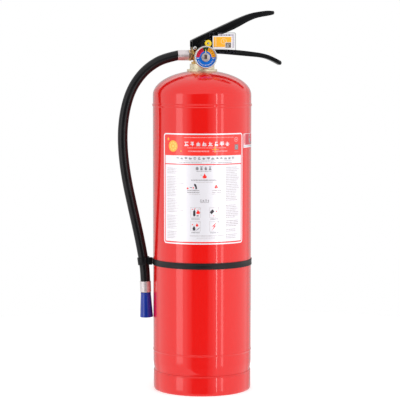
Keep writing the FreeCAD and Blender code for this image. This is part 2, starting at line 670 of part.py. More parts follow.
def gauge_pointer():
    needle = straight([(-1.2, GAUGE_Z - 3), (1.2, GAUGE_Z - 3), (0.35, GAUGE_Z + POINTER_L),
                       (-0.35, GAUGE_Z + POINTER_L), (-1.2, GAUGE_Z - 3)])
    blade = plate(needle, 0.15)
    blade.translate(V(0, DIAL_Y - 0.85, 0))
    return blade.cut(rod_y(SPINDLE_R, 0, GAUGE_Z, -60, 0))


def bourdon_tube():
    """C-shaped pressure tube behind the dial, fed from the gauge stem."""
    y = DIAL_Y + 4.4
    bow = Part.makeTorus(9.5, 1.1, V(0, y, GAUGE_Z), AXIS_Y)
    gap = block(-12, 0, y - 3, y + 3, GAUGE_Z - 3, GAUGE_Z + 3)
    return bow.cut(gap)


# ---- hose, fittings and nozzle -----------------------------------------------------
def port_washer():
    ring = rod_x(PORT_BOSS_R - 0.3, PORT_Z, NUT_X, BLOCK_BACK)
    return ring.cut(rod_x(PORT_BORE, PORT_Z, NUT_X - 1, BLOCK_BACK + 1))


def hose_fitting():
    """Brass union: thread into the valve, hexagon, and barb inside the hose."""
    back = NUT_X - HOSE_NUT_L
    part = rod_x(PORT_BORE, PORT_Z, NUT_X, BLOCK_BACK + PORT_DEPTH)
    part = part.fuse(hex_bar(HOSE_NUT_AF, HOSE_NUT_L, V(NUT_X, 0, PORT_Z), V(-1, 0, 0)))
    part = part.fuse(rod_x(HOSE_BORE, PORT_Z, HOSE_MOUTH_X + 1.0, back + 0.5))
    return part.cut(rod_x(BARB_BORE, PORT_Z, HOSE_MOUTH_X, 0)).removeSplitter()


def ferrule(outer, length):
    """Crimped sleeve along +Z from its closed end at the origin."""
    sleeve = tube(outer, 0, 0, length)
    rims = [e for e in sleeve.Edges if e.Closed and len(e.Vertexes) == 1]
    sleeve = sleeve.makeFillet(0.5, rims)
    return sleeve.cut(tube(FERRULE_IN, 0, 1.0, length + 1)).cut(tube(HOSE_BORE, 0, -1, 2))


def place(shape, base, direction):
    """Stand a piece built along +Z at that base, pointing that way."""
    shape.Placement = FreeCAD.Placement(base, FreeCAD.Rotation(AXIS_Z, direction))
    return shape


def hose_path(points):
    """Straight runs joined by tangent arcs; prints each arc's radius."""
    edges = []
    start = points[0]
    for i in range(1, len(points) - 1):
        before = points[i] - points[i - 1]
        after = points[i + 1] - points[i]
        turn = before.getAngle(after)
        reach = 0.45 * min(before.Length, after.Length)
        radius = reach / math.tan(turn / 2.0)
        arc_in = points[i] - before.normalize() * reach
        arc_out = points[i] + after.normalize() * reach
        inward = (arc_in + arc_out) * 0.5 - points[i]
        depth = radius / math.cos(turn / 2.0) - radius
        middle = points[i] + inward.normalize() * depth
        edges.append(Part.LineSegment(start, arc_in).toShape())
        edges.append(Part.Arc(arc_in, middle, arc_out).toShape())
        start = arc_out
        print("hose bend %d radius %.0f mm, turn %.1f degrees" % (i, radius, math.degrees(turn)))
    edges.append(Part.LineSegment(start, points[-1]).toShape())
    return Part.Wire(edges)


def crimped_end(base, direction, length):
    """Hose end squeezed between ferrule and barb."""
    return place(tube(FERRULE_IN, HOSE_BORE, 0, length), base, direction)


def hose():
    """Rubber hose; both ends are crimped inside their ferrules."""
    path = hose_path(HOSE_ROUTE)
    first = HOSE_ROUTE[1] - HOSE_ROUTE[0]
    rubber = []
    for radius in (HOSE_R, HOSE_BORE):
        section = Part.Wire(Part.makeCircle(radius, HOSE_ROUTE[0], first))
        rubber.append(path.makePipeShell([section], True, False))
    wall = rubber[0].cut(rubber[1])
    target = math.pi * (HOSE_R ** 2 - HOSE_BORE ** 2) * path.Length
    print("hose length %.1f mm, volume %.0f, section x length %.0f" % (path.Length, wall.Volume, target))
    valve_end = crimped_end(V(HOSE_ROUTE[0].x - 1.5, 0, PORT_Z), AXIS_X, FERRULE_L - 5.0)
    nozzle_end = crimped_end(HOSE_ROUTE[-1], hose_end_direction(), NOZZLE_FERRULE_L - 2.0)
    return wall.fuse(valve_end).fuse(nozzle_end).removeSplitter()


def hose_end_direction():
    return (HOSE_ROUTE[-1] - HOSE_ROUTE[-2]).normalize()


def nozzle_insert():
    """Metal tube that joins hose and nozzle inside the ferrule."""
    down = hose_end_direction()
    sleeve = tube(HOSE_BORE, BARB_BORE, 0, NOZZLE_FERRULE_L + 12)
    return place(sleeve, HOSE_ROUTE[-1], down)


def nozzle():
    """Blue jet nozzle: straight cone with a flared bore and rounded mouth."""
    down = hose_end_direction()
    body = lathe_points([(HOSE_BORE, 0), (NOZZLE_TOP_R - 0.6, 0), (NOZZLE_TOP_R, 0.6),
                         (NOZZLE_MOUTH_R - 0.2, NOZZLE_L - 3.0), (NOZZLE_MOUTH_R, NOZZLE_L - 1.5),
                         (NOZZLE_MOUTH_R - 0.5, NOZZLE_L - 0.3), (NOZZLE_MOUTH_R - 1.0, NOZZLE_L),
                         (NOZZLE_MOUTH_R - NOZZLE_LIP, NOZZLE_L - 0.5), (NOZZLE_BORE, 16.0),
                         (NOZZLE_BORE, 12.0), (HOSE_BORE, 12.0)])
    return place(body, HOSE_ROUTE[-1] + down * (NOZZLE_FERRULE_L + NOZZLE_GAP), down)


# ---- strap and clip ----------------------------------------------------------------
def clip_centre():
    """Point of the hose at the strap's height."""
    a = HOSE_ROUTE[-3]
    b = HOSE_ROUTE[-2]
    return a + (b - a) * ((STRAP_Z - a.z) / (b.z - a.z))


def clip_direction():
    return (HOSE_ROUTE[-2] - HOSE_ROUTE[-3]).normalize()


def hose_room():
    """Bore that keeps clip and latch clear of the hose."""
    return place(tube(HOSE_R + CLIP_GAP, 0, -ROOM_HALF, ROOM_HALF), clip_centre(), clip_direction())


def strap_band():
    return tube(BODY_R + STRAP_T, BODY_R, STRAP_Z - STRAP_H / 2, STRAP_Z + STRAP_H / 2)


def hose_clip(band):
    """Loop of the strap round the hose, with the neck that joins it to the band."""
    centre = clip_centre()
    loop = tube(HOSE_R + CLIP_GAP + CLIP_T, 0, -CLIP_H / 2, CLIP_H / 2)
    loop = place(loop, centre, clip_direction())
    turn = math.degrees(math.atan2(centre.y, centre.x))
    reach = math.hypot(centre.x, centre.y)
    neck = block(BODY_R, reach, -4.5, 4.5, STRAP_Z - 4.2, STRAP_Z + 4.2)
    neck.rotate(V(0, 0, 0), AXIS_Z, turn)
    core = tube(BODY_R + STRAP_T, 0, STRAP_Z - 20, STRAP_Z + 20)
    return loop.fuse(neck).cut(hose_room()).cut(core).cut(band).removeSplitter()


def strap_latch(clip, band):
    """Ratchet head where the strap's free end is pulled through."""
    centre = clip_centre()
    turn = math.degrees(math.atan2(centre.y, centre.x))
    head = block(BODY_R + STRAP_T + 0.2, BODY_R + STRAP_T + 7.5, 4.5, 10.5, STRAP_Z - 5.5, STRAP_Z + 6.5)
    head.rotate(V(0, 0, 0), AXIS_Z, turn)
    return head.cut(clip).cut(band).cut(hose_room())


# ---- labels and tag ----------------------------------------------------------------
def label(low, high, start_deg, end_deg):
    """Thin foil on the cylinder, between two angles from straight ahead towards +X."""
    face = Part.makePolygon([V(BODY_R, 0, low), V(LABEL_R, 0, low), V(LABEL_R, 0, high), V(BODY_R, 0, high),
                             V(BODY_R, 0, low)])
    foil = Part.Face(face).revolve(V(0, 0, 0), AXIS_Z, end_deg - start_deg)
    foil.rotate(V(0, 0, 0), AXIS_Z, start_deg - 90)
    return foil


def main_label():
    foil = label(LABEL_LOW, LABEL_HIGH, LABEL_TURN - LABEL_HALF_DEG, LABEL_TURN + LABEL_HALF_DEG)
    corners = [e for e in foil.Edges if e.Length < 2 * LABEL_T]
    return foil.makeFillet(LABEL_CORNER, corners)


def side_label():
    low = SIDE_LABEL_HIGH - SIDE_LABEL_TALL
    return label(low, SIDE_LABEL_HIGH, SIDE_LABEL_FROM, SIDE_LABEL_TO)


def rounded_sheet(x0, x1, z0, z1, y_front, y_back, corner):
    sheet = block(x0, x1, y_front, y_back, z0, z1)
    edges = [e for e in sheet.Edges if abs(e.tangentAt(e.FirstParameter).y) > 0.9]
    return sheet.makeFillet(corner, edges)


def tag_pieces(seal):
    """Clear pocket on the handle's side with two cards in it and its adhesive pad."""
    back = -LEVER_OUT - SIDE_GAP
    z = NECK_Z
    front_card = rounded_sheet(15.0, 47.5, z + 23.7, z + 44.9, back - 0.75, back - 0.50, 0.8)
    rear_card = rounded_sheet(24.0, 50.5, z + 25.5, z + 48.0, back - 0.50, back - 0.25, 0.8)
    pocket = rounded_sheet(9.3, 53.2, z + 16.5, z + 50.5, back - 1.0, back, 2.5)
    hollow = front_card.fuse(rear_card)
    pocket = pocket.cut(seal).cut(hollow).cut(rod_y(BUTTON_R, PIN_X, PIN_Z, -40, 0))
    pad = block(38.0, 51.0, back, -EAR_OUT, z + 17.0, z + 21.0)
    return pocket, front_card, rear_card, pad


def main():
    os.makedirs("parts", exist_ok=True)
    dome = top_dome()
    head = bottom_head()
    skirt = base_skirt()
    lever = squeeze_lever()
    band = strap_band()
    clip = hose_clip(band)
    seal = pin_seal()
    pocket, front_card, rear_card, pad = tag_pieces(seal)
    down = hose_end_direction()
    pieces = {
        "cylinder_tube": cylinder_tube(),
        "top_dome": dome,
        "bottom_head": head,
        "base_skirt": skirt,
        "upper_weld_bead": weld_bead(UPPER_SEAM_Z, BEAD_RISE, BEAD_HALF),
        "lower_weld_bead": weld_bead(LOWER_SEAM_Z, LOW_BEAD_RISE, LOW_BEAD_HALF),
        "skirt_weld": skirt_weld(head, skirt),
        "neck_ring": neck_ring(dome),
        "neck_seal": neck_seal(),
        "valve_body": valve_body(),
        "gland_nut": gland_nut(),
        "stem_o_ring": stem_o_ring(),
        "valve_stem": valve_stem(lever),
        "stem_seal": stem_seal(),
        "seal_retainer": seal_retainer(),
        "valve_spring": valve_spring(),
        "siphon_adapter": siphon_adapter(),
        "dip_tube": dip_tube(),
        "powder_charge": powder_charge(),
        "squeeze_lever": lever,
        "carry_handle": carry_handle(),
        "pivot_rivet": pivot_rivet(),
        "handle_rivet": handle_rivet(),
        "safety_pin": safety_pin(),
        "pull_ring": pull_ring(),
        "pin_seal": seal,
        "gauge_stem": gauge_stem(),
        "gauge_case": gauge_case(),
        "gauge_bezel": gauge_bezel(),
        "gauge_lens": gauge_lens(),
        "gauge_dial": gauge_dial(),
        "pointer_hub": pointer_hub(),
        "gauge_pointer": gauge_pointer(),
        "bourdon_tube": bourdon_tube(),
        "port_washer": port_washer(),
        "hose_fitting": hose_fitting(),
        "hose_ferrule": place(ferrule(FERRULE_R, FERRULE_L), V(NUT_X - HOSE_NUT_L, 0, PORT_Z), V(-1, 0, 0)),
        "hose": hose(),
        "nozzle_ferrule": place(ferrule(NOZZLE_FERRULE_R, NOZZLE_FERRULE_L),
                                HOSE_ROUTE[-1] + down * NOZZLE_FERRULE_L, down * -1),
        "nozzle_insert": nozzle_insert(),
        "nozzle": nozzle(),
        "strap_band": band,
        "hose_clip": clip,
        "strap_latch": strap_latch(clip, band),
        "main_label": main_label(),
        "side_label": side_label(),
        "tag_pocket": pocket,
        "tag_card": front_card,
        "tag_back_card": rear_card,
        "tag_pad": pad,
    }
    for name, shape in pieces.items():
        save(shape, name)


main()
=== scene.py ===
"""Hand-held dry-powder fire extinguisher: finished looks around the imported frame. Metres."""
import bmesh
import bpy
import math
import random
from mathutils import Matrix, Vector


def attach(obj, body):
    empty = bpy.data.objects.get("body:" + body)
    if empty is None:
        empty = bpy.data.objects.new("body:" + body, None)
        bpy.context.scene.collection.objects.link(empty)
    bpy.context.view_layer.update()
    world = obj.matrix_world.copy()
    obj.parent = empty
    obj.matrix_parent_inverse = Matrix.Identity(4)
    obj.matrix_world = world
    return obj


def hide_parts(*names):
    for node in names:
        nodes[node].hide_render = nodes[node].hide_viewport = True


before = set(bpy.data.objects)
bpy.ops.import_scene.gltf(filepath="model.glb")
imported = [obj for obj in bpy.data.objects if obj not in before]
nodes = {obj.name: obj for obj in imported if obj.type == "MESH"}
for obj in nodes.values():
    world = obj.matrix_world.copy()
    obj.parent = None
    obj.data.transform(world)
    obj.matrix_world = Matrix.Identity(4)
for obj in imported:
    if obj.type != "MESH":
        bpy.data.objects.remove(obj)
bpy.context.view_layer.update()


# ---- Studio --------------------------------------------------------------------------
# White walls all round. A graded card in front and a dim one behind show only in
# reflections: they give gloss its deep middle band and calm edges. Strip lamps draw the
# lines of light beside the band.
scene = bpy.context.scene
scene.view_settings.view_transform = "Standard"
world = bpy.data.worlds.new("studio_air")
scene.world = world
world.use_nodes = True
air = world.node_tree
ray = air.nodes.new("ShaderNodeLightPath")
wall_light = air.nodes.new("ShaderNodeMapRange")
wall_light.inputs["To Min"].default_value = 0.92
wall_light.inputs["To Max"].default_value = 1.0
air.links.new(ray.outputs["Is Camera Ray"], wall_light.inputs["Value"])
background = air.nodes["Background"]
background.inputs["Color"].default_value = (1.0, 1.0, 1.0, 1)
air.links.new(wall_light.outputs["Result"], background.inputs["Strength"])

CARD_LEFT = -4.6
CARD_RIGHT = 1.5
CARD_AWAY = 3.05
CARD_LOW = -1.5
DIM_GLOW = 0.55
card_finish = bpy.data.materials.new("graded_card")
card_finish.use_nodes = True
card_tree = card_finish.node_tree
card_shader = card_tree.nodes["Principled BSDF"]
card_shader.inputs["Base Color"].default_value = (0.0, 0.0, 0.0, 1)
card_shader.inputs["Roughness"].default_value = 1.0
card_shader.inputs["Specular IOR Level"].default_value = 0.0
card_shader.inputs["Emission Color"].default_value = (1.0, 1.0, 1.0, 1)
card_place = card_tree.nodes.new("ShaderNodeTexCoord")
card_across = card_tree.nodes.new("ShaderNodeSeparateXYZ")
card_fade = card_tree.nodes.new("ShaderNodeFloatCurve")
fade = card_fade.mapping.curves[0]
for spot, (across, glow) in zip(fade.points, ((0.0, 0.92), (1.0, 0.92))):
    spot.location = (across, glow)
for across, glow in ((0.205, 0.92), (0.30, 0.52), (0.40, 0.30), (0.45, 0.0), (0.775, 0.0), (0.82, 0.30),
                     (0.88, 0.42), (0.93, 0.70)):
    fade.points.new(across, glow)
for spot in fade.points:
    spot.handle_type = "VECTOR"
card_fade.mapping.update()
card_width = card_tree.nodes.new("ShaderNodeMapRange")
card_width.inputs["From Min"].default_value = CARD_LEFT
card_width.inputs["From Max"].default_value = CARD_RIGHT
card_tree.links.new(card_place.outputs["Object"], card_across.inputs["Vector"])
card_tree.links.new(card_across.outputs["X"], card_width.inputs["Value"])
card_tree.links.new(card_width.outputs["Result"], card_fade.inputs["Value"])
card_tree.links.new(card_fade.outputs["Value"], card_shader.inputs["Emission Strength"])

dim_finish = bpy.data.materials.new("dim_card")
dim_finish.use_nodes = True
dim_shader = dim_finish.node_tree.nodes["Principled BSDF"]
dim_shader.inputs["Base Color"].default_value = (0.0, 0.0, 0.0, 1)
dim_shader.inputs["Specular IOR Level"].default_value = 0.0
dim_shader.inputs["Emission Color"].default_value = (1.0, 1.0, 1.0, 1)
dim_shader.inputs["Emission Strength"].default_value = DIM_GLOW


def card(name, low, high, material):
    """Upright card seen in reflections only; corners given as (x, y, z) in metres."""
    card_mesh = bmesh.new()
    corners = [(low[0], low[1], low[2]), (high[0], high[1], low[2]), (high[0], high[1], high[2]),
               (low[0], low[1], high[2])]
    card_mesh.faces.new([card_mesh.verts.new(corner) for corner in corners])
    card_data = bpy.data.meshes.new(name)
    card_mesh.to_mesh(card_data)
    card_mesh.free()
    card_data.materials.append(material)
    upright = bpy.data.objects.new(name, card_data)
    upright.visible_camera = False
    upright.visible_diffuse = False
    upright.visible_shadow = False
    upright.visible_transmission = False
    scene.collection.objects.link(upright)


card("front_card", (CARD_LEFT, -CARD_AWAY, CARD_LOW), (CARD_RIGHT, -CARD_AWAY, 1.5), card_finish)
card("back_card", (-3.2, CARD_AWAY, CARD_LOW), (5.2, CARD_AWAY, 2.0), dim_finish)


def soft_box(name, place, aim, size, power, shows):
    """One rectangular studio light that faces its aim; shows puts it in reflections too."""
    lamp = bpy.data.lights.new(name, "AREA")
    lamp.shape = "RECTANGLE"
    lamp.size = size[0]
    lamp.size_y = size[1]
    lamp.energy = power
    box = bpy.data.objects.new(name, lamp)
    box.location = place
    box.rotation_euler = (Vector(aim) - Vector(place)).to_track_quat("-Z", "Y").to_euler()
    box.visible_glossy = shows
    scene.collection.objects.link(box)


soft_box("line_box", (1.02, -2.25, 0.35), (0, 0, 0.3), (0.09, 1.8), 2.4, True)
soft_box("left_strip", (-2.46, -1.26, 0.35), (0, 0, 0.3), (0.80, 1.8), 6.0, True)
soft_box("right_strip", (1.60, -2.05, 0.35), (0, 0, 0.3), (0.26, 1.8), 2.6, True)
soft_box("left_box", (-1.9, -1.3, 0.7), (0, 0, 0.3), (1.2, 1.6), 4, False)
soft_box("right_box", (1.9, -1.1, 0.7), (0, 0, 0.3), (1.2, 1.6), 7, False)
soft_box("top_box", (0.1, -0.7, 2.0), (0, 0, 0.3), (1.6, 1.0), 5, False)

floor_mesh = bmesh.new()
bmesh.ops.create_circle(floor_mesh, cap_ends=True, segments=96, radius=0.85)
floor_data = bpy.data.meshes.new("floor")
floor_mesh.to_mesh(floor_data)
floor_mesh.free()
floor = bpy.data.objects.new("floor", floor_data)
scene.collection.objects.link(floor)
floor_finish = bpy.data.materials.new("pale_floor")
floor_finish.use_nodes = True
floor_shader = floor_finish.node_tree.nodes["Principled BSDF"]
floor_shader.inputs["Base Color"].default_value = (0.90, 0.90, 0.90, 1)
floor_shader.inputs["Roughness"].default_value = 0.7
floor_shader.inputs["Emission Color"].default_value = (1.0, 1.0, 1.0, 1)
floor_shader.inputs["Emission Strength"].default_value = 0.34
floor_data.materials.append(floor_finish)
floor.visible_glossy = False

camera_data = bpy.data.cameras.new("camera")
camera_data.sensor_width = 36.0
camera_data.lens = 150.8
camera = bpy.data.objects.new("camera", camera_data)
camera.location = (-0.4394, -2.6923, 0.5369)
camera_aim = Vector((0.1593, 0.9837, -0.0830))
camera.rotation_euler = camera_aim.to_track_quat("-Z", "Y").to_euler()
scene.collection.objects.link(camera)
scene.camera = camera

# ---- Pressure cylinder ---------------------------------------------------------------
# Rolled steel tube with a pressed top dome and bottom head, butt-welded at two seams,
# on a rolled foot ring. All of it is sprayed in one coat of glossy red enamel.
MM = 0.001
BODY_R = 80.0
WALL = 1.5
UPPER_SEAM = 465.0
LOWER_SEAM = 65.5
DOME_BASE = 481.0
DOME_RISE = 40.0
NECK_Z = 531.5
DOME_HOLE_R = 20.0
MERGE = 0.000002


def blotch_group():
    """Shader group: two tones, roughness and fine height from noise on the object's own place."""
    group = bpy.data.node_groups.new("handled_surface", "ShaderNodeTree")
    for name, kind in (("Tone A", "NodeSocketColor"), ("Tone B", "NodeSocketColor"),
                       ("Patch Scale", "NodeSocketFloat"), ("Grain Scale", "NodeSocketFloat"),
                       ("Rough Low", "NodeSocketFloat"), ("Rough High", "NodeSocketFloat")):
        group.interface.new_socket(name, in_out="INPUT", socket_type=kind)
    for name, kind in (("Color", "NodeSocketColor"), ("Roughness", "NodeSocketFloat"),
                       ("Height", "NodeSocketFloat")):
        group.interface.new_socket(name, in_out="OUTPUT", socket_type=kind)
    add = group.nodes.new
    link = group.links.new
    inputs = add("NodeGroupInput")
    outputs = add("NodeGroupOutput")
    place = add("ShaderNodeTexCoord")
    patches = add("ShaderNodeTexNoise")
    patches.inputs["Detail"].default_value = 4.0
    grain = add("ShaderNodeTexNoise")
    grain.inputs["Detail"].default_value = 2.0
    spread = add("ShaderNodeMapRange")
    spread.inputs["From Min"].default_value = 0.35
    spread.inputs["From Max"].default_value = 0.65
    tone = add("ShaderNodeMix")
    tone.data_type = "RGBA"
    gloss = add("ShaderNodeMapRange")
    link(place.outputs["Object"], patches.inputs["Vector"])
    link(place.outputs["Object"], grain.inputs["Vector"])
    link(inputs.outputs["Patch Scale"], patches.inputs["Scale"])
    link(inputs.outputs["Grain Scale"], grain.inputs["Scale"])
    link(patches.outputs["Fac"], spread.inputs["Value"])
    link(spread.outputs["Result"], tone.inputs["Factor"])
    link(inputs.outputs["Tone A"], tone.inputs["A"])
    link(inputs.outputs["Tone B"], tone.inputs["B"])
    link(spread.outputs["Result"], gloss.inputs["Value"])
    link(inputs.outputs["Rough Low"], gloss.inputs["To Min"])
    link(inputs.outputs["Rough High"], gloss.inputs["To Max"])
    link(tone.outputs["Result"], outputs.inputs["Color"])
    link(gloss.outputs["Result"], outputs.inputs["Roughness"])
    link(grain.outputs["Fac"], outputs.inputs["Height"])
    return group


HANDLED = blotch_group()


def finish(name, tone_a, tone_b, rough, patch=30.0, grain=900.0, bump=0.05, depth=0.0001, **constants):
    """Material whose tone and gloss wander a little; constants go straight on the shader."""
    material = bpy.data.materials.new(name)
    material.use_nodes = True
    tree = material.node_tree
    shader = tree.nodes["Principled BSDF"]
    surface = tree.nodes.new("ShaderNodeGroup")
    surface.node_tree = HANDLED
    surface.inputs["Tone A"].default_value = (*tone_a, 1)
    surface.inputs["Tone B"].default_value = (*tone_b, 1)
    surface.inputs["Patch Scale"].default_value = patch
    surface.inputs["Grain Scale"].default_value = grain
    surface.inputs["Rough Low"].default_value = rough[0]
    surface.inputs["Rough High"].default_value = rough[1]
    tree.links.new(surface.outputs["Color"], shader.inputs["Base Color"])
    tree.links.new(surface.outputs["Roughness"], shader.inputs["Roughness"])
    relief = tree.nodes.new("ShaderNodeBump")
    relief.inputs["Strength"].default_value = bump
    relief.inputs["Distance"].default_value = depth
    tree.links.new(surface.outputs["Height"], relief.inputs["Height"])
    tree.links.new(relief.outputs["Normal"], shader.inputs["Normal"])
    for socket, value in constants.items():
        shader.inputs[socket.replace("_", " ")].default_value = value
    return material


red_enamel = finish("red_enamel", (0.73, 0.005, 0.003), (0.71, 0.004, 0.003), (0.20, 0.25),
                    patch=6.0, grain=420.0, bump=0.06, depth=0.00005, Specular_IOR_Level=0.25,
                    Coat_Weight=1.0, Coat_Roughness=0.03, Coat_IOR=1.5)


def settle(name, mesh, material, body, slot, *stands_for, smooth=40.0):
    """Turns a finished bmesh into a piece, shades it and lets it ride on its body."""
    bmesh.ops.remove_doubles(mesh, verts=mesh.verts, dist=MERGE)
    bmesh.ops.recalc_face_normals(mesh, faces=mesh.faces)
    data = bpy.data.meshes.new(name)
    for face in mesh.faces:
        face.smooth = True
    for edge in mesh.edges:
        edge.smooth = edge.calc_face_angle(0.0) < math.radians(smooth)
    mesh.to_mesh(data)
    mesh.free()
    for one in (material if isinstance(material, (list, tuple)) else [material]):
        data.materials.append(one)
    piece = bpy.data.objects.new(name, data)
    scene.collection.objects.link(piece)
    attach(piece, body)
    if stands_for:
        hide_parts(*stands_for)
    return piece


def spun(outline, steps=144):
    """Closed ring turned about Z from (radius, height) points in millimetres."""
    mesh = bmesh.new()
    ring = [mesh.verts.new((r * MM, 0, z * MM)) for r, z in outline]
    edges = [mesh.edges.new((ring[i], ring[(i + 1) % len(ring)])) for i in range(len(ring))]
    bmesh.ops.spin(mesh, geom=ring + edges, cent=(0, 0, 0), axis=(0, 0, 1), angle=2 * math.pi,
                   steps=steps, use_merge=True)
    bmesh.ops.remove_doubles(mesh, verts=mesh.verts, dist=MERGE)
    return mesh


def arc(cx, cz, radius, start, end, count, rise=None):
    """Points of an arc in (radius, height), angles in degrees; rise makes it an ellipse."""
    points = []
    for i in range(count + 1):
        a = math.radians(start + (end - start) * i / count)
        points.append((cx + radius * math.cos(a), cz + (rise or radius) * math.sin(a)))
    return points


dome_end = math.degrees(math.acos(DOME_HOLE_R / BODY_R))
inner_end = math.degrees(math.acos(DOME_HOLE_R / (BODY_R - WALL)))
dome = arc(0, DOME_BASE, BODY_R, 0, dome_end, 36, DOME_RISE)
dome += arc(0, DOME_BASE, BODY_R - WALL, inner_end, 0, 36, DOME_RISE - WALL)
settle("dome_skin", spun([(BODY_R, UPPER_SEAM)] + dome + [(BODY_R - WALL, UPPER_SEAM)]), red_enamel,
       "root", "red_paint", "top_dome")
settle("cylinder_skin", spun([(BODY_R, LOWER_SEAM), (BODY_R, UPPER_SEAM), (BODY_R - WALL, UPPER_SEAM),
                              (BODY_R - WALL, LOWER_SEAM)]), red_enamel, "root", "red_paint", "cylinder_tube")

KNUCKLE = 18.0
BELLY_LOW = 6.0
BELLY_RISE = 28.0
BELLY_TOP = BELLY_LOW + BELLY_RISE
waist = BODY_R - 1.6
knuckle_x = waist - KNUCKLE
crown = (knuckle_x ** 2 + BELLY_RISE ** 2 - KNUCKLE ** 2) / (2 * (BELLY_RISE - KNUCKLE))
crown_z = BELLY_LOW + crown
meet = math.degrees(math.atan2(BELLY_TOP - crown_z, knuckle_x))


def belly(offset):
    """Half outline of the bottom head, that far in from its outer face."""
    side = [(BODY_R - offset, LOWER_SEAM), (BODY_R - offset, 46.5), (BODY_R - offset - 0.12, 44.5),
            (waist - offset + 0.2, 35.5), (waist - offset, BELLY_TOP)]
    return (side + arc(knuckle_x, BELLY_TOP, KNUCKLE - offset, 0, meet, 10)[1:]
            + arc(0, crown_z, crown - offset, meet, -89.9, 14)[1:])


settle("bottom_skin", spun(belly(0) + belly(WALL)[::-1]), red_enamel, "root", "red_paint", "bottom_head")

skirt_r = BODY_R - 0.4
roll = [(skirt_r, 5.0), (skirt_r - 0.12, 3.2), (skirt_r - 0.6, 1.5), (skirt_r - 1.3, 0.4),
        (skirt_r - 2.0, 0.0)]
foot = roll + [(skirt_r - 5.0, 0.0), (skirt_r - 5.0, WALL), (skirt_r - 3.0, WALL), (skirt_r - WALL, 5.0),
               (skirt_r - WALL, 30.0), (skirt_r - 0.9, 30.3), (skirt_r - 0.3, 30.0), (skirt_r, 29.3)]
settle("foot_ring", spun(foot), red_enamel, "root", "red_paint", "base_skirt")

# ---- Seam welds ----------------------------------------------------------------------
# Each seam is a machine-laid bead under the paint: low, rounded and slightly rippled.


def bead(name, seam, rise, half, node, ripple):
    """Ring of weld along one seam, with the ripples that the torch leaves."""
    steps = (-1, -0.8, -0.55, -0.3, 0, 0.3, 0.55, 0.8, 1)
    crown_line = [(BODY_R + rise * (1 - t * t), seam + half * t) for t in steps]
    mesh = spun([(BODY_R - 0.3, seam - half)] + crown_line + [(BODY_R - 0.3, seam + half)], steps=288)
    for vert in mesh.verts:
        r = math.hypot(vert.co.x, vert.co.y) / MM
        if r > BODY_R + 0.1:
            turn = math.atan2(vert.co.y, vert.co.x)
            push = 1 + ripple * math.sin(turn * 96 + 0.6 * math.sin(turn * 7)) * (r - BODY_R) / r
            vert.co.x *= push
            vert.co.y *= push
    settle(name, mesh, red_enamel, "root", "red_paint", node)


bead("upper_seam", UPPER_SEAM, 1.0, 3.0, "upper_weld_bead", 0.10)
bead("lower_seam", LOWER_SEAM, 0.6, 1.5, "lower_weld_bead", 0.08)
weld_line = arc(skirt_r - 1.1, 31.0, 1.25, -40, 160, 8)
settle("foot_weld", spun(weld_line + [(waist - 0.9, 31.8), (waist - 1.0, 30.1)]), red_enamel, "root",
       "red_paint", "skirt_weld")

# ---- Hose ----------------------------------------------------------------------------
# Braid-reinforced rubber hose with a smooth black cover, crimped at both ends. It leaves
# the valve level, hangs in one long bow and passes through the strap's loop.
HOSE_ROUTE = [(-38.4, 0.0, 545.4), (-60.2, 0.0, 540.9), (-80.0, 0.3, 531.2), (-98.4, 1.0, 515.8),
              (-114.5, 2.5, 492.4), (-124.5, 4.5, 462.6), (-129.6, 7.0, 425.1), (-128.3, 9.5, 385.0),
              (-122.4, 11.5, 343.2), (-112.6, 13.0, 298.1), (-102.1, 14.0, 251.7), (-94.9, 14.7, 214.0),
              (-92.2, 15.0, 192.0), (-91.7, 15.1, 176.5)]
HOSE_R = 8.0
hose_rubber = finish("hose_rubber", (0.006, 0.006, 0.007), (0.010, 0.009, 0.010), (0.20, 0.28), patch=25.0,
                     grain=700.0, bump=0.12, depth=0.0001, Specular_IOR_Level=0.28)
hose_curve = bpy.data.curves.new("hose_line", "CURVE")
hose_curve.dimensions = "3D"
hose_spline = hose_curve.splines.new("NURBS")
hose_spline.points.add(len(HOSE_ROUTE) - 1)
for point, spot in zip(hose_spline.points, HOSE_ROUTE):
    point.co = (spot[0] * MM, spot[1] * MM, spot[2] * MM, 1)
hose_spline.order_u = 3
hose_spline.use_endpoint_u = True
hose_spline.resolution_u = 16
hose_curve.bevel_depth = HOSE_R * MM
hose_curve.bevel_resolution = 12
hose_curve.use_fill_caps = True
hose_curve.materials.append(hose_rubber)
hose = bpy.data.objects.new("hose_cover", hose_curve)
scene.collection.objects.link(hose)
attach(hose, "root")
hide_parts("hose")

# ---- Neck ----------------------------------------------------------------------------
# Turned steel neck, zinc and yellow chromate plated, welded into the dome. Its flange
# covers the weld, and a rubber ring seals the valve on its top.
zinc = finish("yellow_zinc", (0.84, 0.78, 0.58), (0.76, 0.68, 0.46), (0.28, 0.42), patch=45.0, grain=1600.0,
              bump=0.08, Metallic=0.45)
seal_rubber = finish("seal_rubber", (0.020, 0.020, 0.021), (0.032, 0.031, 0.031), (0.55, 0.75), bump=0.2)
NECK_R = 20.0
NECK_BORE = 15.0
neck_outline = [(NECK_R, 507.0), (NECK_R, 518.6), (24.0, 518.6), (24.6, 519.2), (24.6, 522.3), (23.9, 523.0),
                (20.6, 523.0), (20.2, 523.3), (NECK_R, 523.9), (NECK_R, 530.9), (19.4, NECK_Z),
                (16.6, NECK_Z), (16.6, 529.7), (NECK_BORE, 529.7), (NECK_BORE, 507.0)]
settle("neck_turning", spun(neck_outline, 96), zinc, "root", "zinc_steel", "neck_ring")
settle("neck_gasket", spun([(16.6, 529.7), (16.6, NECK_Z), (15.0, NECK_Z), (15.0, 529.7)], 64), seal_rubber,
       "root", "seal_rubber", "neck_seal")

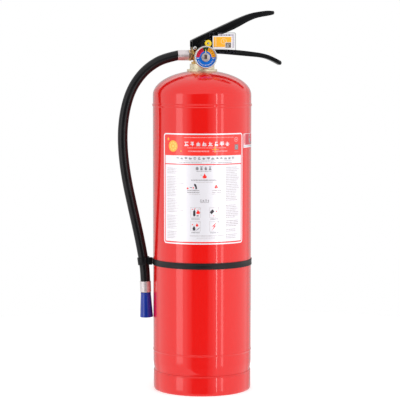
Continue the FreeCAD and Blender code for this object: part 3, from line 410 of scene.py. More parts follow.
# ---- Valve ---------------------------------------------------------------------------
# Hot-pressed brass body, machined all over: spigot, round column, port boss and a
# flat-sided head. A hexagon gland nut keeps the stem's packing in.
brass = finish("machined_brass", (0.80, 0.52, 0.17), (0.66, 0.40, 0.10), (0.20, 0.34), patch=55.0,
               grain=1500.0, bump=0.08, Metallic=1.0)


def dressed(node, material, body, slot, edge=0.25):
    """Copy of a frame node with its seams merged and its sharp edges broken."""
    mesh = bmesh.new()
    mesh.from_mesh(nodes[node].data)
    bmesh.ops.remove_doubles(mesh, verts=mesh.verts, dist=0.000004)
    bmesh.ops.dissolve_limit(mesh, angle_limit=math.radians(0.4), verts=mesh.verts, edges=mesh.edges)
    if edge:
        sharp = [e for e in mesh.edges if e.is_manifold and e.calc_face_angle(0.0) > math.radians(38)]
        bmesh.ops.bevel(mesh, geom=sharp, offset=edge * MM, offset_type="OFFSET", affect="EDGES", segments=2,
                        profile=0.5, material=-1, clamp_overlap=False)
    return settle(node + "_made", mesh, material, body, slot, node, smooth=32.0)


dressed("valve_body", brass, "root", "brass", 0.3)
dressed("gland_nut", brass, "root", "brass", 0.2)
dressed("stem_o_ring", seal_rubber, "root", "seal_rubber", 0)
dressed("valve_stem", brass, "stem", "brass", 0)
dressed("stem_seal", seal_rubber, "stem", "seal_rubber", 0.1)
dressed("seal_retainer", brass, "stem", "brass", 0.1)
spring_steel = finish("spring_steel", (0.60, 0.60, 0.61), (0.48, 0.48, 0.49), (0.20, 0.32), patch=50.0,
                      Metallic=1.0)
dressed("valve_spring", spring_steel, "stem", "spring_steel", 0)

# ---- Dip tube and powder -------------------------------------------------------------
# Inside the cylinder: a moulded adapter with its siphon tube, and the settled powder.
white_plastic = finish("white_plastic", (0.76, 0.76, 0.72), (0.70, 0.70, 0.65), (0.35, 0.5))
dry_powder = finish("dry_powder", (0.70, 0.66, 0.70), (0.60, 0.56, 0.60), (0.9, 1.0), patch=90.0,
                    grain=2500.0, bump=0.7, depth=0.0004)
dressed("siphon_adapter", white_plastic, "root", "white_plastic", 0.2)
dressed("dip_tube", white_plastic, "root", "white_plastic", 0.1)
dressed("powder_charge", dry_powder, "root", "dry_powder", 0)

# ---- Pressure gauge ------------------------------------------------------------------
# Small dial gauge screwed into the column: plated case and rim, pressed-in window, a
# printed dial with three zones, a needle and a bright hub disc over its spindle.
GAUGE_Z = 542.0
DIAL_Y = -35.4
plated = finish("bright_plate", (0.80, 0.79, 0.78), (0.72, 0.71, 0.70), (0.12, 0.22), patch=50.0,
                grain=1200.0, Metallic=1.0)
gauge_glass = finish("gauge_glass", (0.04, 0.04, 0.05), (0.03, 0.03, 0.04), (0.02, 0.04), bump=0.0,
                     Alpha=0.04)
dial_blue = finish("dial_blue", (0.002, 0.160, 0.68), (0.002, 0.145, 0.63), (0.40, 0.46), bump=0.02,
                   Specular_IOR_Level=0.1)
dial_red = finish("dial_crimson", (0.76, 0.012, 0.055), (0.70, 0.010, 0.05), (0.40, 0.46), bump=0.02,
                   Specular_IOR_Level=0.1)
dial_green = finish("dial_green", (0.010, 0.085, 0.020), (0.008, 0.070, 0.016), (0.40, 0.46), bump=0.02,
                   Specular_IOR_Level=0.1)
dial_orange = finish("dial_orange", (1.0, 0.42, 0.012), (0.98, 0.39, 0.01), (0.40, 0.46), bump=0.02,
                   Specular_IOR_Level=0.1)
dial_white = finish("dial_white", (0.85, 0.87, 0.90), (0.82, 0.84, 0.88), (0.40, 0.46), bump=0.02,
                   Specular_IOR_Level=0.1)
dial_dark = finish("dial_dark", (0.030, 0.018, 0.018), (0.024, 0.014, 0.014), (0.40, 0.46), bump=0.02,
                   Specular_IOR_Level=0.1)
needle_paint = finish("needle_paint", (0.90, 0.78, 0.30), (0.86, 0.72, 0.26), (0.35, 0.42), bump=0.02)


def facing_front(mesh, x, z):
    """Turns a piece built about Z so that its axis runs along Y through (x, z)."""
    turn = Matrix.Translation((x * MM, 0, z * MM)) @ Matrix.Rotation(math.radians(90), 4, "X")
    bmesh.ops.transform(mesh, matrix=turn, verts=mesh.verts)
    return mesh


rim_outline = [(18.2, 35.3), (18.2, 38.9), (18.05, 39.5), (17.7, 39.88), (17.2, 40.0), (16.7, 39.9),
               (16.3, 39.6), (16.1, 39.5), (16.1, 39.3), (16.6, 39.3), (16.6, 38.4), (17.4, 38.4),
               (17.4, 35.0), (17.9, 35.0)]
settle("gauge_rim", facing_front(spun(rim_outline, 96), 0, GAUGE_Z), plated, "root", "plated_rim",
       "gauge_bezel")
dressed("gauge_case", plated, "root", "plated_rim", 0.3)
dressed("gauge_lens", gauge_glass, "root", "gauge_glass", 0)
dressed("gauge_stem", brass, "root", "brass", 0.2)
dressed("bourdon_tube", brass, "root", "brass", 0)


def dial_arc(mesh, r0, r1, start, end, proud, material):
    """Printed arc on the dial; angles in degrees clockwise from the top."""
    a = math.radians(start)
    y = (DIAL_Y - proud) * MM
    ends = [mesh.verts.new((r * MM * math.sin(a), y, (GAUGE_Z + r * math.cos(a)) * MM)) for r in (r1, r0)]
    edge = mesh.edges.new(ends)
    bmesh.ops.spin(mesh, geom=ends + [edge], cent=(0, 0, GAUGE_Z * MM), axis=(0, 1, 0),
                   angle=math.radians(end - start), steps=max(1, int((end - start) / 5)))
    for face in mesh.faces:
        if face.material_index == 0 and face not in printed:
            face.material_index = material
            printed.add(face)


ZONE_PROUD = 0.03
MARK_PROUD = 0.05
ON_RED, ON_GREEN, ON_ORANGE, ON_WHITE, ON_DARK = range(1, 6)
dial = spun([(16.6, 34.8), (16.6, 35.4), (1.2, 35.4), (1.2, 34.8)], 72)
facing_front(dial, 0, GAUGE_Z)
printed = set(dial.faces)
dial_arc(dial, 9.6, 16.2, -90, -17, ZONE_PROUD, ON_RED)
dial_arc(dial, 9.6, 16.2, -17, 17, ZONE_PROUD, ON_GREEN)
dial_arc(dial, 9.6, 16.2, 17, 90, ZONE_PROUD, ON_ORANGE)
for turn in (-74, -58, -42, -28):
    dial_arc(dial, 10.8, 14.6, turn - 1.6, turn + 1.6, MARK_PROUD, ON_DARK)
for turn in (30, 46, 62, 76):
    dial_arc(dial, 10.8, 14.0, turn - 1.4, turn + 1.4, MARK_PROUD, ON_DARK)
dial_arc(dial, 11.2, 14.6, -9, -6, MARK_PROUD, ON_DARK)
dial_arc(dial, 11.2, 14.6, 6, 9, MARK_PROUD, ON_DARK)
for step in range(13):
    turn = 118 + step * 10.4
    dial_arc(dial, 12.2, 13.3 if step % 2 else 13.8, turn - 2.2, turn + 2.2, MARK_PROUD, ON_WHITE)
for turn in (98, 262):
    dial_arc(dial, 10.8, 14.2, turn - 2.2, turn + 2.2, MARK_PROUD, ON_WHITE)
settle("dial_plate", dial, [dial_blue, dial_red, dial_green, dial_orange, dial_white, dial_dark], "root",
       "dial_print", "gauge_dial")

hub_face = finish("hub_face", (0.62, 0.58, 0.57), (0.52, 0.48, 0.47), (0.42, 0.55), patch=160.0, bump=0.02,
                  Metallic=0.6)
# The slot is not cut into the disc. A thin dark brown patch on its face stands for it, with painted shade for
# the recess.
hub_slot_shade = finish("hub_slot_shade", (0.085, 0.050, 0.042), (0.060, 0.036, 0.030), (0.5, 0.6), bump=0.02)
hub = spun([(7.0, 36.5), (7.0, 36.8), (6.7, 37.0), (0.05, 37.0), (0.05, 36.5)], 64)
facing_front(hub, 0, GAUGE_Z)
SLOT_SIZE = (0.0046, 0.00008, 0.0072)
# Dark patch of painted slot shade, lying on the disc's face.
slot_shade_patch = bmesh.ops.create_cube(hub, size=1.0)
bmesh.ops.transform(hub, matrix=Matrix.Translation((0, -0.03702, (GAUGE_Z + 0.6) * MM))
                    @ Matrix.Diagonal((*SLOT_SIZE, 1)), verts=slot_shade_patch["verts"])
for face in {f for v in slot_shade_patch["verts"] for f in v.link_faces}:
    face.material_index = 1
settle("hub_disc", hub, [hub_face, hub_slot_shade], "pointer", "plated_rim", "pointer_hub")
dressed("gauge_pointer", needle_paint, "pointer", "pointer_paint", 0)

# ---- Hose union and ferrules ---------------------------------------------------------
# Brass union with a hexagon and a barb in the hose; bright steel sleeves are crimped
# over both hose ends with three shallow rings.
dressed("port_washer", seal_rubber, "root", "seal_rubber", 0.1)
union_brass = finish("union_brass", (0.84, 0.60, 0.36), (0.74, 0.50, 0.28), (0.24, 0.36), patch=55.0,
                     grain=1500.0, bump=0.06, Metallic=0.9)
dressed("hose_fitting", union_brass, "root", "brass", 0.25)
# The sleeves' steel is tinted faintly pink: painted reflection of the red cylinder.
steel_red_reflection = finish("steel_red_reflection", (0.80, 0.73, 0.74), (0.68, 0.61, 0.62), (0.36, 0.46), patch=60.0,
                       bump=0.06, Metallic=0.7)


def along(mesh, base, direction):
    """Moves a piece built along +Z from the origin to its place on the hose."""
    turn = Vector((0, 0, 1)).rotation_difference(Vector(direction)).to_matrix().to_4x4()
    bmesh.ops.transform(mesh, matrix=Matrix.Translation(Vector(base) * MM) @ turn, verts=mesh.verts)
    return mesh


def sleeve(radius, length):
    """Crimped sleeve, closed end at the origin."""
    side = [(radius - 0.6, 0.0), (radius - 0.15, 0.15), (radius, 0.6)]
    for ring in range(3):
        h = length * (0.30 + 0.2 * ring)
        side += [(radius, h - 1.0), (radius - 0.05, h - 0.7), (radius - 0.08, h), (radius - 0.05, h + 0.7),
                 (radius, h + 1.0)]
    side += [(radius, length - 0.6), (radius - 0.15, length - 0.15), (radius - 0.6, length)]
    return spun(side + [(7.2, length), (7.2, 1.0), (4.6, 1.0), (4.6, 0.0)], 80)


hose_end = Vector(HOSE_ROUTE[-1])
hose_down = (hose_end - Vector(HOSE_ROUTE[-2])).normalized()
VALVE_SLEEVE_L = 18.4
NOZZLE_SLEEVE_L = 18.0
settle("valve_sleeve", along(sleeve(8.3, VALVE_SLEEVE_L), (-22.0, 0, 545.2), (-1, 0, 0)), steel_red_reflection,
       "root", "plated_rim", "hose_ferrule")
nozzle_sleeve_end = hose_end + hose_down * NOZZLE_SLEEVE_L
settle("nozzle_sleeve", along(sleeve(8.9, NOZZLE_SLEEVE_L), nozzle_sleeve_end, -hose_down), steel_red_reflection,
       "root", "plated_rim", "nozzle_ferrule")
dressed("nozzle_insert", brass, "root", "brass", 0)

# ---- Nozzle --------------------------------------------------------------------------
# Moulded blue nozzle pressed on the hose's metal tube: a slow cone with a rolled mouth
# and a flared bore.
nozzle_blue = finish("nozzle_blue", (0.001, 0.022, 0.26), (0.002, 0.028, 0.31), (0.20, 0.28), patch=40.0,
                     grain=700.0, bump=0.08, Specular_IOR_Level=0.3, Coat_Weight=0.8, Coat_Roughness=0.06)
jet = [(4.6, 0.0), (7.8, 0.0), (8.25, 0.15), (8.45, 0.6), (8.6, 2.2), (8.35, 2.8), (8.4, 3.4), (8.8, 9.0),
       (9.3, 18.0), (10.1, 31.0), (10.6, 38.0), (10.8, 39.5), (10.7, 40.3), (10.4, 40.8), (9.9, 41.0),
       (9.5, 40.8), (9.2, 40.2), (7.7, 34.0), (5.6, 24.0), (4.4, 16.0), (4.4, 12.0), (4.6, 12.0)]
NOZZLE_GAP = 0.5
nozzle_top = hose_end + hose_down * (NOZZLE_SLEEVE_L + NOZZLE_GAP)
settle("jet_nozzle", along(spun(jet, 96), nozzle_top, hose_down), nozzle_blue, "root", "blue_plastic",
       "nozzle")

# ---- Strap ---------------------------------------------------------------------------
# Moulded nylon strap pulled tight round the cylinder. Its loop holds the hose, and the
# ratchet head beside the loop keeps the strap's free end.
strap_black = finish("strap_nylon", (0.008, 0.008, 0.009), (0.013, 0.012, 0.013), (0.34, 0.46), patch=60.0,
                     grain=1800.0, bump=0.25, Specular_IOR_Level=0.3)
band = [(80.0, 205.1), (81.0, 205.1), (81.2, 205.3), (81.3, 205.7), (81.3, 207.0), (81.05, 207.3),
        (81.05, 212.7), (81.3, 213.0), (81.3, 214.3), (81.2, 214.7), (81.0, 214.9), (80.0, 214.9)]
settle("strap", spun(band, 144), strap_black, "root", "black_plastic", "strap_band")
clip_black = finish("clip_nylon", (0.004, 0.004, 0.005), (0.007, 0.006, 0.007), (0.24, 0.34), patch=60.0,
                    grain=1800.0, bump=0.15, Specular_IOR_Level=0.2)
dressed("hose_clip", clip_black, "root", "black_plastic", 0.35)
dressed("strap_latch", clip_black, "root", "black_plastic", 0.4)

# ---- Squeeze lever and carry handle --------------------------------------------------
# Two steel pressings under black powder enamel. Ears and side plates are riveted
# through the valve's head, and the enamel has one soft, even sheen.
enamel = finish("black_enamel", (0.0030, 0.0032, 0.0040), (0.0050, 0.0052, 0.0060), (0.24, 0.34), patch=18.0,
                grain=900.0, bump=0.12, Specular_IOR_Level=0.13)
dressed("squeeze_lever", enamel, "lever", "black_enamel", 0.45)
dressed("carry_handle", enamel, "root", "black_enamel", 0.45)
dressed("pivot_rivet", plated, "root", "spring_steel", 0.3)
dressed("handle_rivet", spring_steel, "root", "spring_steel", 0.15)

# ---- Safety pin ----------------------------------------------------------------------
# Steel pin with a flattened eye and a wire ring; a yellow plastic button over its front
# end shows that it has not been drawn.
yellow_seal = finish("yellow_seal", (0.92, 0.66, 0.004), (0.88, 0.60, 0.003), (0.22, 0.30), patch=70.0,
                     bump=0.04, Coat_Weight=0.4, Coat_Roughness=0.1)
dressed("safety_pin", spring_steel, "pin", "spring_steel", 0.2)
dressed("pull_ring", spring_steel, "ring", "spring_steel", 0)
dressed("pin_seal", yellow_seal, "root", "yellow_plastic", 0.2)

# ---- Labels --------------------------------------------------------------------------
# Two glossy self-adhesive foils on the cylinder. The large one has a red heading, a
# white strip and a white panel with rows of plain dashes and simple pictures.
LABEL_R = 80.25
STRIP = 2.5
INK_STEP = 0.02
FOIL = 0.245
ART_MIDDLE = 2.0
foil_white = finish("foil_white", (0.90, 0.88, 0.93), (0.88, 0.86, 0.91), (0.20, 0.28), patch=12.0, bump=0.03,
                    Metallic=0.22, Coat_Weight=0.8, Coat_Roughness=0.05)
ink_red = finish("ink_red", (0.88, 0.030, 0.020), (0.84, 0.026, 0.018), (0.20, 0.28), patch=12.0, bump=0.03,
                 Coat_Weight=0.8, Coat_Roughness=0.05)
ink_dark = finish("ink_dark", (0.050, 0.045, 0.055), (0.040, 0.036, 0.045), (0.25, 0.32), bump=0.02)
ink_grey = finish("ink_grey", (0.22, 0.20, 0.21), (0.18, 0.16, 0.18), (0.25, 0.32), bump=0.02)
ink_pale = finish("ink_pale", (0.42, 0.37, 0.37), (0.38, 0.33, 0.34), (0.25, 0.32), bump=0.02)
ink_yellow = finish("ink_yellow", (0.90, 0.45, 0.06), (0.85, 0.38, 0.05), (0.25, 0.32), bump=0.02)
ink_pink = finish("ink_pink", (0.85, 0.38, 0.38), (0.80, 0.34, 0.35), (0.25, 0.32), bump=0.02)
ink_crimson = finish("ink_crimson", (0.60, 0.045, 0.075), (0.55, 0.04, 0.065), (0.25, 0.32), bump=0.02)
ink_gold = finish("ink_gold", (0.92, 0.62, 0.16), (0.88, 0.56, 0.12), (0.25, 0.32), bump=0.02)
WHITE, RED, DARK, GREY, PALE, YELLOW, PINK, CRIMSON, GOLD = range(9)
inks = [foil_white, ink_red, ink_dark, ink_grey, ink_pale, ink_yellow, ink_pink, ink_crimson, ink_gold]
chance = random.Random(7)


def area(mesh, points, layer, ink):
    """Flat printed area in the plane of (across, up), in millimetres, one layer proud of the foil."""
    face = mesh.faces.new([mesh.verts.new((u * MM, -layer * INK_STEP * MM, v * MM)) for u, v in points])
    face.material_index = ink
    if face.normal.y > 0:
        face.normal_flip()
    return face


def bar(mesh, u0, u1, v0, v1, layer, ink):
    area(mesh, [(u0, v0), (u1, v0), (u1, v1), (u0, v1)], layer, ink)


def spot(mesh, u, v, radius, layer, ink, corners=28, tall=1.0):
    turns = [2 * math.pi * i / corners for i in range(corners)]
    area(mesh, [(u + radius * math.cos(t), v + tall * radius * math.sin(t)) for t in turns], layer, ink)


def frame_line(mesh, u0, u1, v0, v1, width, layer, ink):
    bar(mesh, u0, u1, v0, v0 + width, layer, ink)
    bar(mesh, u0, u1, v1 - width, v1, layer, ink)
    bar(mesh, u0, u0 + width, v0 + width, v1 - width, layer, ink)
    bar(mesh, u1 - width, u1, v0 + width, v1 - width, layer, ink)


def dashes(mesh, u0, u1, v, height, layer, ink, longest=2.4):
    """One row of plain dashes of uneven length."""
    u = u0
    while u < u1 - 0.4:
        length = min(chance.uniform(0.5, longest), u1 - u)
        bar(mesh, u, u + length, v - height / 2, v + height / 2, layer, ink)
        u += length + chance.uniform(0.35, 0.8)


def blocks(mesh, u0, u1, v, height, count, layer, ink):
    """One row of small crossed marks, evenly spaced."""
    pitch = (u1 - u0) / count
    for i in range(count):
        left = u0 + i * pitch + 0.1 * pitch
        right = u0 + (i + 1) * pitch - 0.1 * pitch
        stroke = 0.16 * height
        for row in chance.sample((-0.42, -0.14, 0.14, 0.42), 3):
            inset = chance.uniform(0, 0.25) * (right - left)
            level = v + row * height
            bar(mesh, left + inset, right - inset, level - stroke / 2, level + stroke / 2, layer, ink)
        middle = left + chance.uniform(0.3, 0.7) * (right - left)
        bar(mesh, middle - stroke / 2, middle + stroke / 2, v - height / 2, v + height / 2, layer, ink)


def flame(mesh, u, v, size, layer, ink):
    outline = [(0.0, 1.0), (0.12, 0.55), (0.42, 0.25), (0.55, -0.2), (0.75, -0.05), (0.78, -0.55),
               (0.5, -0.95), (-0.5, -0.95), (-0.78, -0.55), (-0.6, 0.0), (-0.42, -0.1), (-0.3, 0.4)]
    area(mesh, [(u + size * a, v + size * b) for a, b in outline], layer, ink)


def rounded(u0, u1, v0, v1, radius):
    points = []
    for cu, cv, start in ((u1 - radius, v1 - radius, 0), (u0 + radius, v1 - radius, 90),
                          (u0 + radius, v0 + radius, 180), (u1 - radius, v0 + radius, 270)):
        points += [(cu + radius * math.cos(math.radians(start + 15 * i)),
                    cv + radius * math.sin(math.radians(start + 15 * i))) for i in range(7)]
    return points


def wrapped(mesh, half, centre):
    """Cuts the flat print into narrow strips and bends it round the cylinder."""
    stations = int(half // STRIP)
    for i in range(-stations, stations + 1):
        geometry = mesh.verts[:] + mesh.edges[:] + mesh.faces[:]
        bmesh.ops.bisect_plane(mesh, geom=geometry, plane_co=(i * STRIP * MM, 0, 0), plane_no=(1, 0, 0),
                               dist=1e-7)
    for vert in mesh.verts:
        turn = math.radians(centre) + vert.co.x / (LABEL_R * MM)
        radius = LABEL_R * MM - vert.co.y
        vert.co.x = radius * math.sin(turn)
        vert.co.y = -radius * math.cos(turn)
    return mesh


def foil(mesh, outline):
    """The foil itself: its outline, a quarter of a millimetre thick."""
    front = area(mesh, outline, 0, WHITE)
    extruded = bmesh.ops.extrude_face_region(mesh, geom=[front], use_keep_orig=True)
    back = [v for v in extruded["geom"] if isinstance(v, bmesh.types.BMVert)]
    bmesh.ops.translate(mesh, verts=back, vec=(0, FOIL * MM, 0))
    bmesh.ops.recalc_face_normals(mesh, faces=mesh.faces)


PER_DEG = math.pi * LABEL_R / 180
LOW, HIGH = 245.2, 421.6
HALF = 51.4 * PER_DEG


def at(angle):
    """Distance across the label of an angle seen from the front, in degrees."""
    return (angle - ART_MIDDLE) * PER_DEG


art = bmesh.new()
foil(art, rounded(-HALF, HALF, LOW, HIGH, 5.0))
area(art, rounded(-HALF + 2.0, HALF - 2.0, LOW + 2.0, HIGH - 2.0, 3.2), 1, RED)
bar(art, -HALF + 3.8, HALF - 3.8, 373.5, 386.5, 2, WHITE)
area(art, rounded(-HALF + 3.8, HALF - 3.8, 249.3, 371.9, 1.2), 2, WHITE)
spot(art, at(-35.2), 401.3, 8.6, 2, YELLOW, tall=1.05)
for i in range(9):
    turn = 2 * math.pi * i / 9
    spot(art, at(-35.2) + 5.4 * math.cos(turn), 401.3 + 5.4 * math.sin(turn), 1.5, 3, GOLD, 10)
spot(art, at(-35.2), 401.3, 2.2, 3, GOLD, 16)
spot(art, at(-42.0), 412.4, 1.8, 2, YELLOW, 12, 1.3)
spot(art, at(-24.6), 393.6, 1.1, 2, YELLOW, 10)
dashes(art, at(-21), at(39), 415.3, 1.0, 2, PINK, 1.8)
blocks(art, at(-21.5), at(33.5), 405.2, 6.6, 8, 2, WHITE)
dashes(art, at(-17), at(29), 399.0, 1.0, 2, PINK, 1.6)
dashes(art, at(-16), at(8), 393.6, 2.2, 2, PINK, 1.4)
dashes(art, at(12), at(30), 393.6, 2.0, 2, PINK, 1.4)
bar(art, at(11), at(19), 396.2, 397.0, 2, YELLOW)
bar(art, at(14.2), at(15.4), 391.6, 402.0, 2, YELLOW)
spot(art, at(42.5), 411.5, 4.0, 2, PINK, 24)
spot(art, at(42.5), 411.5, 3.2, 3, RED, 24)
spot(art, at(42.5), 411.5, 1.5, 4, PINK, 16)
bar(art, at(40.2), at(45.8), 395.2, 403.6, 2, GREY)
bar(art, at(41.2), at(44.8), 396.6, 402.2, 3, PALE)
bar(art, at(42.2), at(43.8), 398.2, 400.6, 4, GREY)
dashes(art, at(39.8), at(46.4), 391.8, 0.8, 2, PINK, 1.0)
blocks(art, at(-31.5), at(40.5), 382.3, 3.4, 14, 3, DARK)
dashes(art, at(-27), at(36), 378.3, 0.9, 3, PALE, 1.8)
dashes(art, at(-27), at(0), 375.4, 1.0, 3, GREY, 1.6)
dashes(art, at(10), at(36), 375.4, 1.0, 3, GREY, 1.6)
blocks(art, at(-8), at(11.5), 366.6, 5.4, 4, 3, DARK)
dashes(art, at(-7), at(10.5), 362.0, 0.9, 3, GREY, 1.4)
flame(art, at(2.8), 354.8, 4.3, 3, RED)
bar(art, at(-2.2), at(0.2), 355.6, 356.2, 3, PALE)
dashes(art, at(-12.5), at(17), 347.8, 1.7, 3, GREY, 1.3)
dashes(art, at(-7), at(12), 344.6, 0.8, 3, PALE, 1.8)
spot(art, at(-16.6), 334.6, 1.5, 3, RED, 12)
spot(art, at(-10.0), 335.6, 1.1, 3, RED, 12)
bar(art, at(-14.2), at(-11.6), 335.6, 336.4, 3, DARK)
area(art, [(at(-9.0), 342.2), (at(-7.0), 341.2), (at(-6.0), 337.6), (at(-5.6), 333.6), (at(-7.6), 333.6),
           (at(-7.8), 337.0), (at(-9.2), 339.6)], 3, DARK)
flame(art, at(16.2), 338.0, 3.6, 3, RED)
for v in (331.4, 328.2):
    dashes(art, at(-17), at(-3), v, 1.6, 3, GREY, 1.2)
    dashes(art, at(11.5), at(22.5), v, 1.5, 3, PALE, 1.2)
dashes(art, at(-15), at(-2), 325.4, 0.8, 3, PALE, 1.6)
dashes(art, at(11), at(24), 325.4, 0.8, 3, PALE, 1.6)
blocks(art, at(-2.8), at(8.6), 315.4, 3.0, 4, 3, GREY)
dashes(art, at(-1.8), at(7.6), 312.4, 0.9, 3, GREY, 1.2)
for angle, v in ((-7.5, 296.4), (14.1, 296.2), (-7.6, 274.6), (14.1, 274.3)):
    frame_line(art, at(angle) - 8.0, at(angle) + 8.0, v - 8.1, v + 8.1, 0.35, 3, PALE)
    dashes(art, at(angle) - 6.5, at(angle) + 6.5, v - 10.4, 1.5, 3, GREY, 1.2)
    frame_line(art, at(angle) + 5.0, at(angle) + 7.4, v + 4.8, v + 7.4, 0.35, 3, PALE)
area(art, rounded(at(-10.2), at(-7.6), 290.4, 299.2, 1.0), 3, DARK)
bar(art, at(-9.4), at(-8.3), 299.2, 301.2, 3, DARK)
flame(art, at(-4.6), 297.6, 3.9, 3, RED)
spot(art, at(-11.2), 301.4, 0.9, 3, RED, 10)
spot(art, at(-8.2), 302.4, 0.9, 3, RED, 10)
bar(art, at(-6.4), at(-4.0), 290.4, 291.8, 3, DARK)
area(art, [(at(8.6), 297.0), (at(12.0), 301.6), (at(14.0), 297.8), (at(10.6), 293.4)], 3, DARK)
flame(art, at(16.4), 298.8, 1.6, 3, RED)
spot(art, at(13.4), 291.2, 0.8, 3, RED, 10)
area(art, [(at(-11.0), 270.8), (at(-9.2), 275.4), (at(-7.6), 271.0), (at(-8.0), 267.6), (at(-10.4), 267.6)],
     3, DARK)
flame(art, at(-5.8), 276.8, 2.9, 3, RED)
spot(art, at(-11.0), 277.0, 0.9, 3, RED, 10)
area(art, [(at(-6.4), 267.8), (at(-2.6), 271.8), (at(-2.9), 272.4), (at(-6.7), 268.4)], 3, DARK)
area(art, [(at(16.9), 281.2), (at(11.2), 273.6), (at(13.9), 274.2), (at(11.0), 267.2), (at(16.2), 275.4),
           (at(13.9), 274.8)], 3, RED)
for first, last in ((366.0, 356.5), (352.4, 321.0), (317.0, 294.6), (290.6, 268.4), (264.8, 252.8)):
    v = first
    while v > last:
        dashes(art, at(-43.6), at(-43.6) + chance.uniform(20, 31), v, 0.9, 3, PALE, 2.2)
        v -= 2.55
v = 367.5
while v > 253:
    if chance.random() > 0.14:
        dashes(art, at(28.0), at(28.0) + chance.uniform(18, 27), v, 1.0, 3, PALE, 2.6)
    v -= 2.75
dashes(art, at(-14), at(26), 259.0, 1.2, 3, PALE, 1.6)
dashes(art, at(-6), at(18), 255.6, 1.0, 3, PALE, 1.6)
settle("front_label", wrapped(art, HALF, -7.2), inks, "root", "label_foil", "main_label", smooth=60.0)

tab = bmesh.new()
TAB_HALF = 14.2 * PER_DEG
foil(tab, rounded(-TAB_HALF, TAB_HALF, 397.5, 420.0, 0.8))
bar(tab, -TAB_HALF + 0.6, TAB_HALF - 0.6, 401.8, 419.4, 1, CRIMSON)
bar(tab, -TAB_HALF + 0.6, -TAB_HALF + 5.4, 401.8, 419.4, 2, PINK)
bar(tab, -TAB_HALF + 2.2, -TAB_HALF + 3.6, 404.5, 416.5, 3, RED)
spot(tab, 3.6, 412.4, 5.0, 2, PALE, 24, 1.15)
spot(tab, 3.6, 412.4, 3.4, 3, CRIMSON, 24, 1.15)
bar(tab, 2.0, 5.2, 404.0, 412.0, 4, PALE)
bar(tab, 7.0, 14.0, 402.4, 406.4, 2, GREY)
dashes(tab, -TAB_HALF + 1.5, TAB_HALF - 2.0, 399.8, 1.2, 1, PALE, 1.6)
settle("side_tab", wrapped(tab, TAB_HALF, 60.8), inks, "root", "label_foil", "side_label", smooth=60.0)

# ---- Tag -----------------------------------------------------------------------------
# Clear vinyl pocket with a welded edge, hung beside the lever, with a printed card in
# front, a plain card behind and an adhesive pad that holds it to the handle.
vinyl = finish("clear_vinyl", (0.04, 0.04, 0.05), (0.03, 0.03, 0.04), (0.10, 0.18), bump=0.05, Alpha=0.03,
               Specular_IOR_Level=0.10)
vinyl_weld = finish("vinyl_weld", (0.035, 0.035, 0.045), (0.025, 0.025, 0.035), (0.45, 0.55), bump=0.02,
                    Alpha=0.32, Specular_IOR_Level=0.02)
card_white = finish("card_white", (0.84, 0.82, 0.84), (0.80, 0.78, 0.80), (0.45, 0.55), bump=0.04)
card_orange = finish("card_orange", (1.0, 0.47, 0.008), (0.98, 0.45, 0.007), (0.45, 0.55), bump=0.04)
card_grey = finish("card_grey", (0.16, 0.13, 0.10), (0.12, 0.10, 0.08), (0.45, 0.55), bump=0.04)
card_pale = finish("card_pale", (0.86, 0.66, 0.36), (0.82, 0.62, 0.33), (0.45, 0.55), bump=0.04)
card_back = finish("card_back", (0.60, 0.57, 0.64), (0.54, 0.51, 0.58), (0.45, 0.55), bump=0.04)
ON_CARD, ON_ORANGE_INK, ON_GREY_INK, ON_PALE_INK, ON_BACK = range(5)
POCKET_FRONT = -14.3
POCKET_BACK = -13.3


def sheet(mesh, outline, front, back, ink):
    """Flat sheet facing the front, between two depths in millimetres."""
    face = mesh.faces.new([mesh.verts.new((x * MM, front * MM, (NECK_Z + z) * MM)) for x, z in outline])
    face.material_index = ink
    grown = bmesh.ops.extrude_face_region(mesh, geom=[face], use_keep_orig=True)
    bmesh.ops.translate(mesh, verts=[v for v in grown["geom"] if isinstance(v, bmesh.types.BMVert)],
                        vec=(0, (back - front) * MM, 0))


def mark(mesh, outline, front, ink):
    face = mesh.faces.new([mesh.verts.new((x * MM, front * MM, (NECK_Z + z) * MM)) for x, z in outline])
    face.material_index = ink


def mark_bar(mesh, x0, x1, z0, z1, front, ink):
    mark(mesh, [(x0, z0), (x1, z0), (x1, z1), (x0, z1)], front, ink)


def ring_points(x, z, radius, count=32):
    return [(x + radius * math.cos(2 * math.pi * i / count), z + radius * math.sin(2 * math.pi * i / count))
            for i in range(count)]


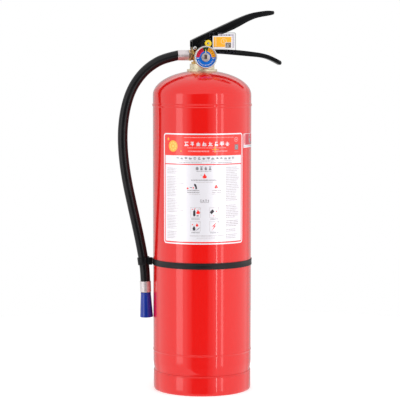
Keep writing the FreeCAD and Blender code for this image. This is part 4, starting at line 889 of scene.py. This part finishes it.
front_card = bmesh.new()
sheet(front_card, rounded(15.0, 47.5, 23.7, 44.9, 0.8), -14.05, -13.8, ON_CARD)
mark_bar(front_card, 16.6, 45.6, 27.0, 43.3, -14.07, ON_ORANGE_INK)
for row in range(9):
    mark_bar(front_card, 18.8, 21.2, 28.4 + row * 1.65, 29.4 + row * 1.65, -14.09, ON_PALE_INK)
mark(front_card, ring_points(33.2, 36.2, 4.8), -14.09, ON_PALE_INK)
mark(front_card, ring_points(33.2, 36.2, 4.0), -14.11, ON_ORANGE_INK)
mark(front_card, [(32.0, 38.6), (32.9, 39.0), (34.6, 34.2), (33.8, 33.8)], -14.13, ON_PALE_INK)
mark_bar(front_card, 35.6, 45.6, 25.4, 34.6, -14.15, ON_CARD)
mark_bar(front_card, 36.2, 45.0, 26.0, 34.0, -14.17, ON_GREY_INK)
for i in range(14):
    x = chance.uniform(36.6, 43.6)
    z = chance.uniform(26.4, 32.8)
    mark_bar(front_card, x, x + 0.9, z, z + 0.7, -14.19, ON_CARD)
settle("card_front", front_card, [card_white, card_orange, card_grey, card_pale], "root", "printed_card",
       "tag_card", smooth=20.0)

rear_card = bmesh.new()
sheet(rear_card, rounded(24.0, 50.5, 25.5, 48.0, 0.8), -13.8, -13.55, ON_BACK)
for x in (26.2, 28.0, 29.4, 33.2, 36.8, 41.0, 42.2, 46.6):
    mark_bar(rear_card, x, x + chance.uniform(0.8, 1.8), 45.4, 47.0, -13.82, ON_GREY_INK)
settle("card_rear", rear_card, [card_white, card_orange, card_grey, card_pale, card_back], "root",
       "printed_card", "tag_back_card", smooth=20.0)

pocket = bmesh.new()
outer_edge = rounded(9.3, 53.2, 16.5, 50.5, 2.5)
inner_edge = rounded(10.9, 51.8, 18.1, 49.2, 1.8)
for depth in (POCKET_FRONT, POCKET_BACK):
    loops = []
    for outline in (outer_edge, inner_edge):
        ring = [pocket.verts.new((x * MM, depth * MM, (NECK_Z + z) * MM)) for x, z in outline]
        loops += [pocket.edges.new((ring[i], ring[(i + 1) % len(ring)])) for i in range(len(ring))]
    for face in bmesh.ops.bridge_loops(pocket, edges=loops)["faces"]:
        face.material_index = 1
    pocket.faces.new(ring).material_index = 0
settle("pocket", pocket, [vinyl, vinyl_weld], "root", "clear_vinyl", "tag_pocket", smooth=20.0)
dressed("tag_pad", vinyl_weld, "root", "clear_vinyl", 0.2)
